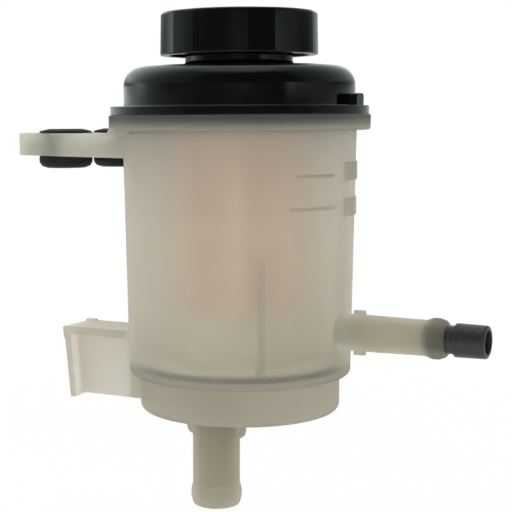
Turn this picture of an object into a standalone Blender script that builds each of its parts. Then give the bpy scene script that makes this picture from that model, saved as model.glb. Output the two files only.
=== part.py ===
"""Power steering reservoir: a milky moulded tank with a welded black lid and a screw cap.

The tank stands on the Z axis, the suction nipple points down and its end lies at height zero.
The return tube points along +X, and the arm and the foot that carry the tank lie towards -X.
"""

import math

import bmesh
import bpy
from mathutils import Vector

MM = 0.001

# Fit between pieces that touch or slide
GAP = 0.3 * MM
BURY = 1.0 * MM

# Roundness of turned pieces
BIG_STEPS = 56
SMALL_STEPS = 28
HOLE_STEPS = 12
SHARP_ANGLE = math.radians(35)

# Tank: heights are stacked from the end of the suction nipple
NIPPLE_LENGTH = 40.3 * MM
SUMP_HEIGHT = 14.2 * MM
CHAMBER_HEIGHT = 93.3 * MM
FLANGE_HEIGHT = 5.8 * MM
TANK_WALL = 2.4 * MM
SUMP_RADIUS = 38.6 * MM
SUMP_EDGE_RADIUS = 2.5 * MM
CHAMBER_BOTTOM_RADIUS = 42.75 * MM
CHAMBER_TOP_RADIUS = 44.6 * MM
CHAMBER_EDGE_RADIUS = 3.0 * MM
FLANGE_RADIUS = 50.0 * MM
FLANGE_EDGE_RADIUS = 0.9 * MM

# Guide ribs on the inside of the tank wall
GUIDE_COUNT = 3
GUIDE_FIRST_ANGLE = math.radians(-53)
GUIDE_THICKNESS = 1.8 * MM
GUIDE_DEPTH = 2.4 * MM
GUIDE_LENGTH = 39.5 * MM

# Suction nipple under the sump
NIPPLE_X = -10.3 * MM
NIPPLE_RADIUS = 9.3 * MM
NIPPLE_BORE = 7.0 * MM
NIPPLE_BEAD_RADIUS = 10.0 * MM
NIPPLE_BEAD_HEIGHT = 5.6 * MM
NIPPLE_BEAD_RUN = 3.4 * MM
NIPPLE_LIP_RADIUS = 8.3 * MM
MOUTH_DISH = 0.6 * MM
NIPPLE_FIN_REACH = 12.6 * MM
NIPPLE_FIN_DROP = 12.8 * MM
NIPPLE_FIN_THICKNESS = 2.2 * MM
NIPPLE_FIN_CORNER = 2.6 * MM

# Return tube on the side
TUBE_RISE = 18.5 * MM
TUBE_ROOT_RADIUS = 6.85 * MM
TUBE_RADIUS = 6.55 * MM
TUBE_BORE = 4.4 * MM
TUBE_END = 83.1 * MM
TUBE_BEAD_RADIUS = 7.45 * MM
TUBE_BEAD_FROM_END = 3.9 * MM
TUBE_BEAD_RUN = 3.2 * MM
TUBE_LIP_RADIUS = 5.7 * MM
TUBE_FIN_START = 47.5 * MM
TUBE_FIN_LENGTH = 4.4 * MM
TUBE_FIN_REACH = 8.35 * MM
TUBE_FIN_THICKNESS = 2.0 * MM

# Slope of the soft hose beads: a larger value gives a narrower bead
BEAD_SLOPE = 1.5

# Return nozzle pressed into the end of the tube
NOZZLE_SPIGOT_LENGTH = 9.0 * MM
NOZZLE_NECK_RADIUS = 5.15 * MM
NOZZLE_NECK_LENGTH = 2.8 * MM
NOZZLE_HEAD_RADIUS = 6.15 * MM
NOZZLE_TIP_RADIUS = 5.95 * MM
NOZZLE_HEAD_LENGTH = 11.7 * MM
NOZZLE_CHAMFER = 0.6 * MM
NOZZLE_LIP = 1.1 * MM
NOZZLE_SOCKET_DEPTH = 7.0 * MM
NOZZLE_BORE = 3.2 * MM

# Upper arm, which leaves the tank on a tangent
ARM_ANGLE = math.radians(158.5)
ARM_FRONT = -43.8 * MM
ARM_BACK = 1.4 * MM
ARM_BEYOND_RIM = 38.3 * MM
ARM_END_SKEW = 9.8 * MM
ARM_DROP = 1.0 * MM
ARM_THICKNESS = 9.0 * MM
ARM_SKIN = 2.6 * MM
ARM_RIM = 2.6 * MM
ARM_CORNER = 2.0 * MM
ARM_BOSS_WALL = 2.4 * MM
ARM_BRACE_DROP = 3.3 * MM
ARM_BRACE_START = 7.6 * MM
ARM_BRACE_END = 13.8 * MM
ARM_BRACE_SET_BACK = 0.5 * MM
ARM_EAR_START = 18.0 * MM
ARM_EAR_END = 27.6 * MM
ARM_EAR_RISE = 3.5 * MM
ARM_EAR_PROUD = 0.7 * MM

# Grommets and their sleeves, placed along and across the arm
GROMMET_BEYOND_RIM = (18.5 * MM, 13.4 * MM)
GROMMET_ACROSS = (-33.0 * MM, -9.5 * MM)
GROMMET_NAMES = ("front", "rear")
GROMMET_FLANGE_RADIUS = 10.8 * MM
GROMMET_WAIST_RADIUS = 7.6 * MM
GROMMET_TOP_FLANGE = 1.4 * MM
GROMMET_BOTTOM_FLANGE = 4.4 * MM
GROMMET_TOP_ROUND = 0.9 * MM
GROMMET_BOTTOM_ROUND = 2.2 * MM
SLEEVE_RADIUS = 5.4 * MM
SLEEVE_BORE = 4.2 * MM

# Lower foot with its recessed web
FOOT_HALF_WIDTH = 10.0 * MM
FOOT_RISE = 13.6 * MM
FOOT_HEIGHT = 28.9 * MM
FOOT_TOP_THICKNESS = 2.9 * MM
FOOT_TOP_REACH = 75.7 * MM
FOOT_BOTTOM_REACH = 72.8 * MM
FOOT_END_THICKNESS = 2.6 * MM
FOOT_WEB_RISE = 1.4 * MM
FOOT_WEB_RECESS = 3.6 * MM
FOOT_WEB_THICKNESS = 2.2 * MM
FOOT_LEDGE_DROP = 4.9 * MM
FOOT_LEDGE_STEP = 0.5 * MM
FOOT_PAD_HEIGHT = 0.8 * MM
FOOT_PAD_LENGTH = 4.2 * MM

# Lid welded on the tank flange
LID_FLANGE_RADIUS = 49.3 * MM
LID_FLANGE_TOP = 3.4 * MM
LID_EDGE_RADIUS = 0.6 * MM
LID_WALL = 2.5 * MM
LID_SPIGOT_DEPTH = 4.5 * MM
LID_SPIGOT_WALL = 2.2 * MM
DOME_RADIUS = 44.1 * MM
DOME_CORNER = 8.0 * MM
DOME_CROWN = 18.0 * MM
DOME_RISE = 0.8 * MM
LUG_WIDTH = 8.5 * MM
LUG_REACH = 48.9 * MM
LUG_HEIGHT = 4.2 * MM
LUG_CORNER = 0.8 * MM

# Filler neck
NECK_RADIUS = 20.5 * MM
NECK_WALL = 2.6 * MM
NECK_TOP = 32.0 * MM
NECK_CHAMFER = 0.8 * MM
NECK_ROOT_RADIUS = 1.6 * MM

# Screw cap and what it holds
CAP_BOTTOM = 22.5 * MM
CAP_TOP = 38.6 * MM
CAP_BOTTOM_RADIUS = 30.0 * MM
CAP_TOP_RADIUS = 29.7 * MM
CAP_EDGE_RADIUS = 1.2 * MM
CAP_CROWN = 0.4 * MM
CAP_LOBES = 6
CAP_FLAT_ANGLE = math.radians(20)
CAP_FLAT_CENTRE = math.radians(-47.7)
CAP_LOBE_STEPS = 5
CAP_SHELL = 2.6 * MM
CAP_GROOVE_TOP = 3.4 * MM
CAP_SKIRT_BORE = 22.3 * MM
CAP_SKIRT_WALL = 2.2 * MM
CAP_SKIRT_RISE = 1.0 * MM
CAP_RIB_THICKNESS = 1.6 * MM
SEAL_THICKNESS = 1.6 * MM
SEAL_OVERHANG = 1.2 * MM
VENT_PLATE_THICKNESS = 1.3 * MM
VENT_HOLE_COUNT = 4
VENT_HOLE_RADIUS = 1.0 * MM
VENT_HOLE_CIRCLE = 3.9 * MM
VENT_STEM_RADIUS = 1.9 * MM
VENT_BULB_RADIUS = 2.8 * MM
VENT_BULB_HEIGHT = 0.9 * MM
VENT_UMBRELLA_RADIUS = 6.2 * MM
VENT_UMBRELLA_THICKNESS = 1.0 * MM
VENT_RECESS_RADIUS = 4.2 * MM

# Filter that stands on the shoulder between chamber and sump
FILTER_SEAL_THICKNESS = 2.0 * MM
FILTER_BASE_THICKNESS = 2.5 * MM
FILTER_BASE_CLEARANCE = 0.6 * MM
FILTER_OUTLET_RADIUS = 14.0 * MM
FILTER_STAND_HEIGHT = 15.0 * MM
FILTER_STAND_WALL = 2.0 * MM
FILTER_CAGE_RADIUS = 26.0 * MM
FILTER_CAGE_WALL = 2.0 * MM
FILTER_CAGE_HEIGHT = 69.0 * MM
FILTER_COLLAR_HEIGHT = 3.0 * MM
FILTER_COLLAR_WALL = 1.6 * MM
FILTER_WINDOWS = 8
FILTER_WINDOW_ROWS = 2
FILTER_WINDOW_SHARE = 0.66
FILTER_WINDOW_STEPS = 6
FILTER_BAND = 5.0 * MM
PLEAT_COUNT = 22
PLEAT_DEPTH = 7.0 * MM
PLEAT_PAPER = 0.9 * MM
PLEAT_FOLD_PAPER = 1.4 * MM
FILTER_DISC_THICKNESS = 2.4 * MM
HOLD_SPRING_RADIUS = 23.4 * MM
HOLD_SPRING_WIRE = 1.8 * MM
HOLD_SPRING_TURNS = 5
COIL_STEPS = 14
COIL_SIDES = 5

# Bypass valve under the end disc of the filter
PORT_RADIUS = 7.0 * MM
VALVE_RADIUS = 9.5 * MM
VALVE_THICKNESS = 1.6 * MM
VALVE_STEM_RADIUS = 2.2 * MM
SPRING_RADIUS = 5.4 * MM
SPRING_WIRE = 1.0 * MM
SPRING_HEIGHT = 9.6 * MM
SPRING_TURNS = 4.5
RETAINER_RADIUS = 12.6 * MM
RETAINER_WALL = 1.8 * MM
RETAINER_FLOOR = 1.8 * MM
RETAINER_WINDOWS = 3
RETAINER_WINDOW_WIDTH = 14.0 * MM

# Heights that follow from the sizes above
SUMP_BOTTOM = NIPPLE_LENGTH
STEP_HEIGHT = SUMP_BOTTOM + SUMP_HEIGHT
FLANGE_BOTTOM = STEP_HEIGHT + CHAMBER_HEIGHT
JOINT = FLANGE_BOTTOM + FLANGE_HEIGHT
LEDGE = STEP_HEIGHT + TANK_WALL
TUBE_HEIGHT = STEP_HEIGHT + TUBE_RISE
ARM_TOP = FLANGE_BOTTOM - ARM_DROP
FOOT_TOP = STEP_HEIGHT + FOOT_RISE
FOOT_BOTTOM = FOOT_TOP - FOOT_HEIGHT

# Lengths along the arm, which keep its grommets and its end clear of the rim
ARM_LENGTH = FLANGE_RADIUS + ARM_BEYOND_RIM
GROMMET_ALONG = tuple(FLANGE_RADIUS + beyond for beyond in GROMMET_BEYOND_RIM)


def clear_scene():
    """Empty the scene of its objects."""
    for item in list(bpy.data.objects):
        bpy.data.objects.remove(item, do_unlink=True)


def plastic(name, colour, roughness, metallic=0.0):
    """A plain material of one colour."""
    finish = bpy.data.materials.new(name)
    finish.use_nodes = True
    shader = finish.node_tree.nodes["Principled BSDF"]
    shader.inputs["Base Color"].default_value = (*colour, 1.0)
    shader.inputs["Roughness"].default_value = roughness
    shader.inputs["Metallic"].default_value = metallic
    return finish


def arc(centre, radius, start, end, steps):
    """Points on an arc about a centre, from one angle to another in degrees."""
    points = []
    for step in range(steps + 1):
        angle = math.radians(start + (end - start) * step / steps)
        points.append((centre[0] + radius * math.cos(angle), centre[1] + radius * math.sin(angle)))
    return points


def swell(start, end, radius, peak, steps=6):
    """Points of a round bead between two places on a turned outline."""
    points = []
    for step in range(1, steps):
        share = step / steps
        bulge = math.sin(math.pi * share) ** BEAD_SLOPE
        points.append((radius + (peak - radius) * bulge, start + (end - start) * share))
    return points


def object_from(name, geometry, finish=None):
    """Turn working geometry into a named object whose faces point out."""
    bmesh.ops.recalc_face_normals(geometry, faces=geometry.faces)
    mesh = bpy.data.meshes.new(name)
    geometry.to_mesh(mesh)
    geometry.free()
    mesh.shade_smooth()
    mesh.set_sharp_from_angle(angle=SHARP_ANGLE)
    item = bpy.data.objects.new(name, mesh)
    bpy.context.scene.collection.objects.link(item)
    if finish:
        mesh.materials.append(finish)
    return item


def ring_faces(geometry, lower, upper):
    """Join two rings of vertices, either of which may be a single point."""
    count = max(len(lower), len(upper))
    if len(lower) == 1 and len(upper) == 1:
        return
    for step in range(count):
        following = (step + 1) % count
        if len(lower) == 1:
            geometry.faces.new((lower[0], upper[following], upper[step]))
        elif len(upper) == 1:
            geometry.faces.new((lower[step], lower[following], upper[0]))
        else:
            geometry.faces.new((lower[step], lower[following], upper[following], upper[step]))


def turned(name, outline, steps, finish=None, phase=0.5):
    """Turn a closed outline of (radius, height) points about the Z axis."""
    geometry = bmesh.new()
    rings = []
    for radius, height in outline:
        if radius <= 0.0:
            rings.append([geometry.verts.new((0.0, 0.0, height))])
            continue
        ring = []
        for step in range(steps):
            angle = 2.0 * math.pi * (step + phase) / steps
            ring.append(geometry.verts.new((radius * math.cos(angle), radius * math.sin(angle), height)))
        rings.append(ring)
    for lower, upper in zip(rings, rings[1:] + rings[:1]):
        ring_faces(geometry, lower, upper)
    return object_from(name, geometry, finish)


def stacked(name, loops, finish=None):
    """Skin a stack of closed loops with equal numbers of points, and close both ends."""
    geometry = bmesh.new()
    rings = [[geometry.verts.new(point) for point in loop] for loop in loops]
    for lower, upper in zip(rings, rings[1:]):
        ring_faces(geometry, lower, upper)
    geometry.faces.new(list(reversed(rings[0])))
    geometry.faces.new(rings[-1])
    return object_from(name, geometry, finish)


def slab(name, outline, bottom, top, finish=None):
    """Extrude a flat outline of (x, y) points between two heights."""
    loops = [[(x, y, height) for x, y in outline] for height in (bottom, top)]
    return stacked(name, loops, finish)


def block(name, low, high, finish=None):
    """A box between two corners."""
    outline = [(low[0], low[1]), (high[0], low[1]), (high[0], high[1]), (low[0], high[1])]
    return slab(name, outline, low[2], high[2], finish)


def side_plate(name, outline, low, high, finish=None):
    """Extrude an outline of (x, z) points between two places along Y."""
    loops = [[(x, y, z) for x, z in outline] for y in (low, high)]
    return stacked(name, loops, finish)


def combine(target, tool, operation):
    """Add a tool body to a target or cut it away, and hide the tool."""
    step = target.modifiers.new(tool.name, "BOOLEAN")
    step.operation = operation
    step.solver = "EXACT"
    step.object = tool
    tool.hide_render = True
    tool.display_type = "WIRE"


def add(target, tool):
    combine(target, tool, "UNION")


def cut(target, tool):
    combine(target, tool, "DIFFERENCE")


def arm_point(along, across):
    """A place in plan, measured along and across the arm from the tank axis."""
    forward = Vector((math.cos(ARM_ANGLE), math.sin(ARM_ANGLE)))
    sideways = Vector((math.sin(ARM_ANGLE), -math.cos(ARM_ANGLE)))
    return forward * along + sideways * across


def wall_radius(height):
    """Outer radius of the tapered chamber wall at a height."""
    share = (height - STEP_HEIGHT) / (FLANGE_BOTTOM - STEP_HEIGHT)
    return CHAMBER_BOTTOM_RADIUS + (CHAMBER_TOP_RADIUS - CHAMBER_BOTTOM_RADIUS) * share


def tank_outline():
    """Outside of the tank from the middle of the sump floor to the joint."""
    outline = [(0.0, SUMP_BOTTOM)]
    sump_corner = (SUMP_RADIUS - SUMP_EDGE_RADIUS, SUMP_BOTTOM + SUMP_EDGE_RADIUS)
    outline += arc(sump_corner, SUMP_EDGE_RADIUS, -90, 0, 4)
    outline.append((SUMP_RADIUS, STEP_HEIGHT))
    chamber_corner = (CHAMBER_BOTTOM_RADIUS - CHAMBER_EDGE_RADIUS, STEP_HEIGHT + CHAMBER_EDGE_RADIUS)
    outline += arc(chamber_corner, CHAMBER_EDGE_RADIUS, -90, 0, 4)
    outline.append((CHAMBER_TOP_RADIUS, FLANGE_BOTTOM))
    flange_corner = (FLANGE_RADIUS - FLANGE_EDGE_RADIUS, FLANGE_BOTTOM + FLANGE_EDGE_RADIUS)
    outline += arc(flange_corner, FLANGE_EDGE_RADIUS, -90, 0, 2)
    outline.append((FLANGE_RADIUS, JOINT))
    outline.append((0.0, JOINT))
    return outline


def cavity_outline():
    """Inside of the tank, open at the joint."""
    floor = SUMP_BOTTOM + TANK_WALL
    return [
        (0.0, floor),
        (SUMP_RADIUS - TANK_WALL - SUMP_EDGE_RADIUS / 2, floor),
        (SUMP_RADIUS - TANK_WALL, floor + SUMP_EDGE_RADIUS / 2),
        (SUMP_RADIUS - TANK_WALL, LEDGE),
        (CHAMBER_BOTTOM_RADIUS - TANK_WALL, LEDGE),
        (CHAMBER_TOP_RADIUS - TANK_WALL, FLANGE_BOTTOM),
        (CHAMBER_TOP_RADIUS - TANK_WALL, JOINT + BURY),
        (0.0, JOINT + BURY),
    ]


def nipple_outline():
    """Outside of the suction nipple with its rounded end and hose bead."""
    bead_low = NIPPLE_BEAD_HEIGHT - NIPPLE_BEAD_RUN
    bead_high = NIPPLE_BEAD_HEIGHT + NIPPLE_BEAD_RUN
    lip = NIPPLE_BEAD_RADIUS - NIPPLE_LIP_RADIUS
    outline = [(0.0, MOUTH_DISH)]
    for step in range(5):
        angle = math.radians(-90 + 22.5 * step)
        radius = NIPPLE_LIP_RADIUS + lip * math.cos(angle)
        outline.append((radius, bead_low * (1 + math.sin(angle))))
    outline.append((NIPPLE_BEAD_RADIUS, NIPPLE_BEAD_HEIGHT))
    for step in range(1, 4):
        share = step / 4
        ease = 0.5 + 0.5 * math.cos(math.pi * share)
        radius = NIPPLE_RADIUS + (NIPPLE_BEAD_RADIUS - NIPPLE_RADIUS) * ease
        outline.append((radius, NIPPLE_BEAD_HEIGHT + (bead_high - NIPPLE_BEAD_HEIGHT) * share))
    outline.append((NIPPLE_RADIUS, bead_high))
    outline.append((NIPPLE_RADIUS, SUMP_BOTTOM + BURY))
    outline.append((0.0, SUMP_BOTTOM + BURY))
    return outline


def tube_outline():
    """Outside of the return tube, with heights measured out from the tank axis."""
    root = wall_radius(TUBE_HEIGHT) - BURY
    bead = TUBE_END - TUBE_BEAD_FROM_END
    outline = [(0.0, root), (TUBE_ROOT_RADIUS, root), (TUBE_ROOT_RADIUS, TUBE_FIN_START + TUBE_FIN_LENGTH)]
    outline.append((TUBE_RADIUS, bead - TUBE_BEAD_RUN))
    outline += swell(bead - TUBE_BEAD_RUN, bead + TUBE_BEAD_RUN, TUBE_RADIUS, TUBE_BEAD_RADIUS)
    outline.append((TUBE_LIP_RADIUS + NOZZLE_CHAMFER / 2, TUBE_END - NOZZLE_CHAMFER / 2))
    outline.append((TUBE_LIP_RADIUS, TUBE_END))
    outline.append((0.0, TUBE_END - MOUTH_DISH))
    return outline


def lay_along_x(item, height):
    """Lay a body that was turned about Z along the X axis at a height."""
    item.rotation_euler = (0.0, math.pi / 2, 0.0)
    item.location = (0.0, 0.0, height)


def nipple_fin():
    """The two quarter-round fins at the root of the suction nipple, as one plate."""
    top = SUMP_BOTTOM + BURY
    bottom = SUMP_BOTTOM - NIPPLE_FIN_DROP
    right = arc((NIPPLE_FIN_REACH - NIPPLE_FIN_CORNER, bottom + NIPPLE_FIN_CORNER), NIPPLE_FIN_CORNER, -90, 0, 4)
    left = [(-x, z) for x, z in reversed(right)]
    outline = [(NIPPLE_FIN_REACH, top), (-NIPPLE_FIN_REACH, top)] + left + right
    outline = [(x + NIPPLE_X, z) for x, z in outline]
    half = NIPPLE_FIN_THICKNESS / 2
    return side_plate("add_nipple_fins", outline, -half, half)


def arm_outline(inset):
    """Plan of the arm, drawn in by an inset on every free side."""
    end_front = ARM_LENGTH - inset
    end_back = ARM_LENGTH - ARM_END_SKEW - inset
    front = ARM_FRONT + inset
    back = ARM_BACK - inset
    root = CHAMBER_TOP_RADIUS / 2
    places = [(0.0, front)]
    places += arc((end_front - ARM_CORNER, front + ARM_CORNER), ARM_CORNER, -90, 0, 5)
    places += arc((end_back - ARM_CORNER, back - ARM_CORNER), ARM_CORNER, 0, 90, 5)
    places += [(root, back), (0.0, -root)]
    return [tuple(arm_point(along, across)) for along, across in places]


def grommet_places():
    """Plan position of each grommet."""
    return [arm_point(along, across) for along, across in zip(GROMMET_ALONG, GROMMET_ACROSS)]


def make_arm():
    """The arm: a flat top skin with a rim and two bosses under it."""
    bottom = ARM_TOP - ARM_THICKNESS
    skin = ARM_TOP - ARM_SKIN
    arm = slab("add_arm", arm_outline(0.0), bottom, ARM_TOP)
    pocket = slab("cut_arm_pocket", arm_outline(ARM_RIM), bottom - BURY, skin)
    hole = GROMMET_WAIST_RADIUS + GAP
    keep = wall_radius(ARM_TOP)
    cut(pocket, turned("cut_pocket_root", [(0.0, bottom - 2 * BURY), (keep, bottom - 2 * BURY),
                                           (keep, skin + BURY), (0.0, skin + BURY)], BIG_STEPS))
    for name, place in zip(GROMMET_NAMES, grommet_places()):
        boss = turned("cut_boss_" + name, [(0.0, bottom - 2 * BURY), (hole + ARM_BOSS_WALL, bottom - 2 * BURY),
                                           (hole + ARM_BOSS_WALL, skin + BURY), (0.0, skin + BURY)], SMALL_STEPS)
        boss.location = (place.x, place.y, 0.0)
        cut(pocket, boss)
    cut(arm, pocket)
    return arm


def make_arm_brace():
    """The short brace under the root of the arm."""
    front = ARM_FRONT + ARM_BRACE_SET_BACK
    places = [(ARM_BRACE_START, front), (ARM_BRACE_END, front),
              (ARM_BRACE_END, front + 2 * TANK_WALL), (ARM_BRACE_START, front + 2 * TANK_WALL)]
    bottom = ARM_TOP - ARM_THICKNESS - ARM_BRACE_DROP
    outline = [tuple(arm_point(along, across)) for along, across in places]
    return slab("add_arm_brace", outline, bottom, bottom + ARM_BRACE_DROP + BURY)


def make_arm_ear():
    """The rounded ear that ties the top of the arm to the rim of the flange."""
    low = ARM_TOP - BURY
    corner = (ARM_EAR_END - ARM_EAR_RISE, ARM_TOP)
    profile = [(ARM_EAR_START, low), (ARM_EAR_END, low)] + arc(corner, ARM_EAR_RISE, 0, 90, 5)
    profile.append((ARM_EAR_START, ARM_TOP + ARM_EAR_RISE))
    loops = []
    for across in (ARM_FRONT - ARM_EAR_PROUD, ARM_FRONT + 2 * TANK_WALL):
        loop = []
        for along, height in profile:
            place = arm_point(along, across)
            loop.append((place.x, place.y, height))
        loops.append(loop)
    return stacked("add_arm_ear", loops)


def make_foot():
    """The foot: a top flange and an end flange round a thin web that is set back."""
    half = FOOT_HALF_WIDTH
    inner = SUMP_RADIUS - TANK_WALL / 2
    ledge = FOOT_TOP - FOOT_LEDGE_DROP
    slope = (FOOT_TOP_REACH - FOOT_BOTTOM_REACH) / (FOOT_TOP - FOOT_BOTTOM)
    ledge_reach = FOOT_TOP_REACH - slope * FOOT_LEDGE_DROP - FOOT_LEDGE_STEP
    under = FOOT_TOP - FOOT_TOP_THICKNESS
    profile = [
        (-inner, FOOT_TOP),
        (-inner, under),
        (-(FOOT_TOP_REACH - FOOT_END_THICKNESS - slope * FOOT_TOP_THICKNESS), under),
        (-(FOOT_BOTTOM_REACH - FOOT_END_THICKNESS), FOOT_BOTTOM),
        (-(FOOT_BOTTOM_REACH - FOOT_LEDGE_STEP), FOOT_BOTTOM),
        (-ledge_reach, ledge),
        (-(ledge_reach + FOOT_LEDGE_STEP), ledge),
        (-FOOT_TOP_REACH, FOOT_TOP),
    ]
    foot = side_plate("add_foot", profile, -half, half)
    web_front = -half + FOOT_WEB_RECESS
    web = [
        (-inner, FOOT_TOP - FOOT_TOP_THICKNESS / 2),
        (-inner, FOOT_BOTTOM + FOOT_WEB_RISE),
        (-(FOOT_BOTTOM_REACH - FOOT_END_THICKNESS / 2), FOOT_BOTTOM + FOOT_WEB_RISE),
        (-(FOOT_TOP_REACH - FOOT_END_THICKNESS), FOOT_TOP - FOOT_TOP_THICKNESS / 2),
    ]
    add(foot, side_plate("add_foot_web", web, web_front, web_front + FOOT_WEB_THICKNESS))
    pad = block("add_foot_pad", (-FOOT_TOP_REACH + FOOT_LEDGE_STEP, half - FOOT_PAD_LENGTH, FOOT_TOP - BURY),
                (-FOOT_TOP_REACH + FOOT_LEDGE_STEP + FOOT_PAD_LENGTH, half - FOOT_LEDGE_STEP,
                 FOOT_TOP + FOOT_PAD_HEIGHT))
    add(foot, pad)
    return foot


def guide_angles():
    """Directions of the guide ribs round the tank axis."""
    return [GUIDE_FIRST_ANGLE + 2 * math.pi * number / GUIDE_COUNT for number in range(GUIDE_COUNT)]


def filter_base_top():
    """Height of the upper face of the filter base."""
    return LEDGE + GAP + FILTER_SEAL_THICKNESS + GAP + FILTER_BASE_THICKNESS


def make_tank(finish):
    """The tank, moulded in one piece with its tubes, arm, foot and guide ribs."""
    tank = turned("reservoir_body", tank_outline(), BIG_STEPS, finish)
    nipple = turned("add_nipple", nipple_outline(), SMALL_STEPS)
    nipple.location = (NIPPLE_X, 0.0, 0.0)
    add(tank, nipple)
    add(tank, nipple_fin())
    tube = turned("add_return_tube", tube_outline(), SMALL_STEPS)
    lay_along_x(tube, TUBE_HEIGHT)
    add(tank, tube)
    half = TUBE_FIN_THICKNESS / 2
    add(tank, block("add_tube_fins", (TUBE_FIN_START, -half, TUBE_HEIGHT - TUBE_FIN_REACH),
                    (TUBE_FIN_START + TUBE_FIN_LENGTH, half, TUBE_HEIGHT + TUBE_FIN_REACH)))
    for body in (make_arm(), make_arm_brace(), make_arm_ear(), make_foot()):
        add(tank, body)
    cut(tank, turned("cut_cavity", cavity_outline(), BIG_STEPS))
    bottom = filter_base_top() + GAP
    inner = wall_radius(bottom) - TANK_WALL - GUIDE_DEPTH
    for number, angle in enumerate(guide_angles()):
        rib = block(f"add_guide_{number + 1}", (inner, -GUIDE_THICKNESS / 2, bottom),
                    (wall_radius(bottom) - TANK_WALL / 2, GUIDE_THICKNESS / 2, bottom + GUIDE_LENGTH))
        rib.rotation_euler = (0.0, 0.0, angle)
        add(tank, rib)
    bore = [(0.0, -BURY), (NIPPLE_BORE, -BURY), (NIPPLE_BORE, SUMP_BOTTOM + TANK_WALL + BURY),
            (0.0, SUMP_BOTTOM + TANK_WALL + BURY)]
    nipple_bore = turned("cut_nipple_bore", bore, SMALL_STEPS, phase=0.0)
    nipple_bore.location = (NIPPLE_X, 0.0, 0.0)
    cut(tank, nipple_bore)
    start = wall_radius(TUBE_HEIGHT) - TANK_WALL - 2 * BURY
    bore = [(0.0, start), (TUBE_BORE, start), (TUBE_BORE, TUBE_END + BURY), (0.0, TUBE_END + BURY)]
    tube_bore = turned("cut_tube_bore", bore, SMALL_STEPS, phase=0.0)
    lay_along_x(tube_bore, TUBE_HEIGHT)
    cut(tank, tube_bore)
    hole = GROMMET_WAIST_RADIUS + GAP
    for name, place in zip(GROMMET_NAMES, grommet_places()):
        drill = turned("cut_grommet_hole_" + name,
                       [(0.0, ARM_TOP - ARM_THICKNESS - BURY), (hole, ARM_TOP - ARM_THICKNESS - BURY),
                        (hole, ARM_TOP + BURY), (0.0, ARM_TOP + BURY)], SMALL_STEPS)
        drill.location = (place.x, place.y, 0.0)
        cut(tank, drill)
    return tank


def lid_outline():
    """Section of the lid: spigot, flange, dome and filler neck."""
    seat = JOINT + GAP
    spigot = CHAMBER_TOP_RADIUS - TANK_WALL - GAP
    corner = (DOME_RADIUS - DOME_CORNER, JOINT + DOME_CROWN - DOME_CORNER)
    bore = NECK_RADIUS - NECK_WALL
    rim = JOINT + LID_FLANGE_TOP
    inner_corner = DOME_CORNER - LID_WALL
    outline = [(spigot - LID_SPIGOT_WALL, JOINT - LID_SPIGOT_DEPTH), (spigot, JOINT - LID_SPIGOT_DEPTH)]
    outline += [(spigot, seat), (LID_FLANGE_RADIUS, seat), (LID_FLANGE_RADIUS, rim - LID_EDGE_RADIUS)]
    outline += [(LID_FLANGE_RADIUS - LID_EDGE_RADIUS, rim), (DOME_RADIUS, rim)]
    outline += arc(corner, DOME_CORNER, 0, 90, 7)
    root = (NECK_RADIUS + NECK_ROOT_RADIUS, JOINT + DOME_CROWN + DOME_RISE + NECK_ROOT_RADIUS)
    outline += arc(root, NECK_ROOT_RADIUS, 270, 180, 2)
    outline += [(NECK_RADIUS, JOINT + NECK_TOP - NECK_CHAMFER), (NECK_RADIUS - NECK_CHAMFER, JOINT + NECK_TOP)]
    outline += [(bore, JOINT + NECK_TOP), (bore, JOINT + DOME_CROWN - LID_WALL)]
    outline += arc(corner, inner_corner, 90, 0, 4)
    outline += [(DOME_RADIUS - LID_WALL, rim), (spigot - LID_SPIGOT_WALL, seat)]
    return outline


def make_lid(finish):
    """The lid with its index lug."""
    lid = turned("reservoir_lid", lid_outline(), BIG_STEPS, finish)
    rim = JOINT + LID_FLANGE_TOP
    half = LUG_WIDTH / 2
    profile = [(-half, rim - BURY), (half, rim - BURY)]
    profile += arc((half - LUG_CORNER, rim + LUG_HEIGHT - LUG_CORNER), LUG_CORNER, 0, 90, 3)
    profile += arc((LUG_CORNER - half, rim + LUG_HEIGHT - LUG_CORNER), LUG_CORNER, 90, 180, 3)
    loops = [[(x, y, z) for y, z in profile] for x in (DOME_RADIUS - LID_WALL / 2, LUG_REACH)]
    add(lid, stacked("add_lug", loops))
    return lid


def cap_loop(radius, height):
    """One level of the cap: round lobes with a flat between each two."""
    points = []
    lobe = 2 * math.pi / CAP_LOBES - CAP_FLAT_ANGLE
    for number in range(CAP_LOBES):
        start = CAP_FLAT_CENTRE + CAP_FLAT_ANGLE / 2 + 2 * math.pi * number / CAP_LOBES
        for step in range(CAP_LOBE_STEPS + 1):
            angle = start + lobe * step / CAP_LOBE_STEPS
            points.append((radius * math.cos(angle), radius * math.sin(angle), height))
    return points


def cap_ceiling():
    """Height of the flat inside face of the cap."""
    plate_top = JOINT + NECK_TOP + GAP + SEAL_THICKNESS + GAP + VENT_PLATE_THICKNESS
    return plate_top + GAP


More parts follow.
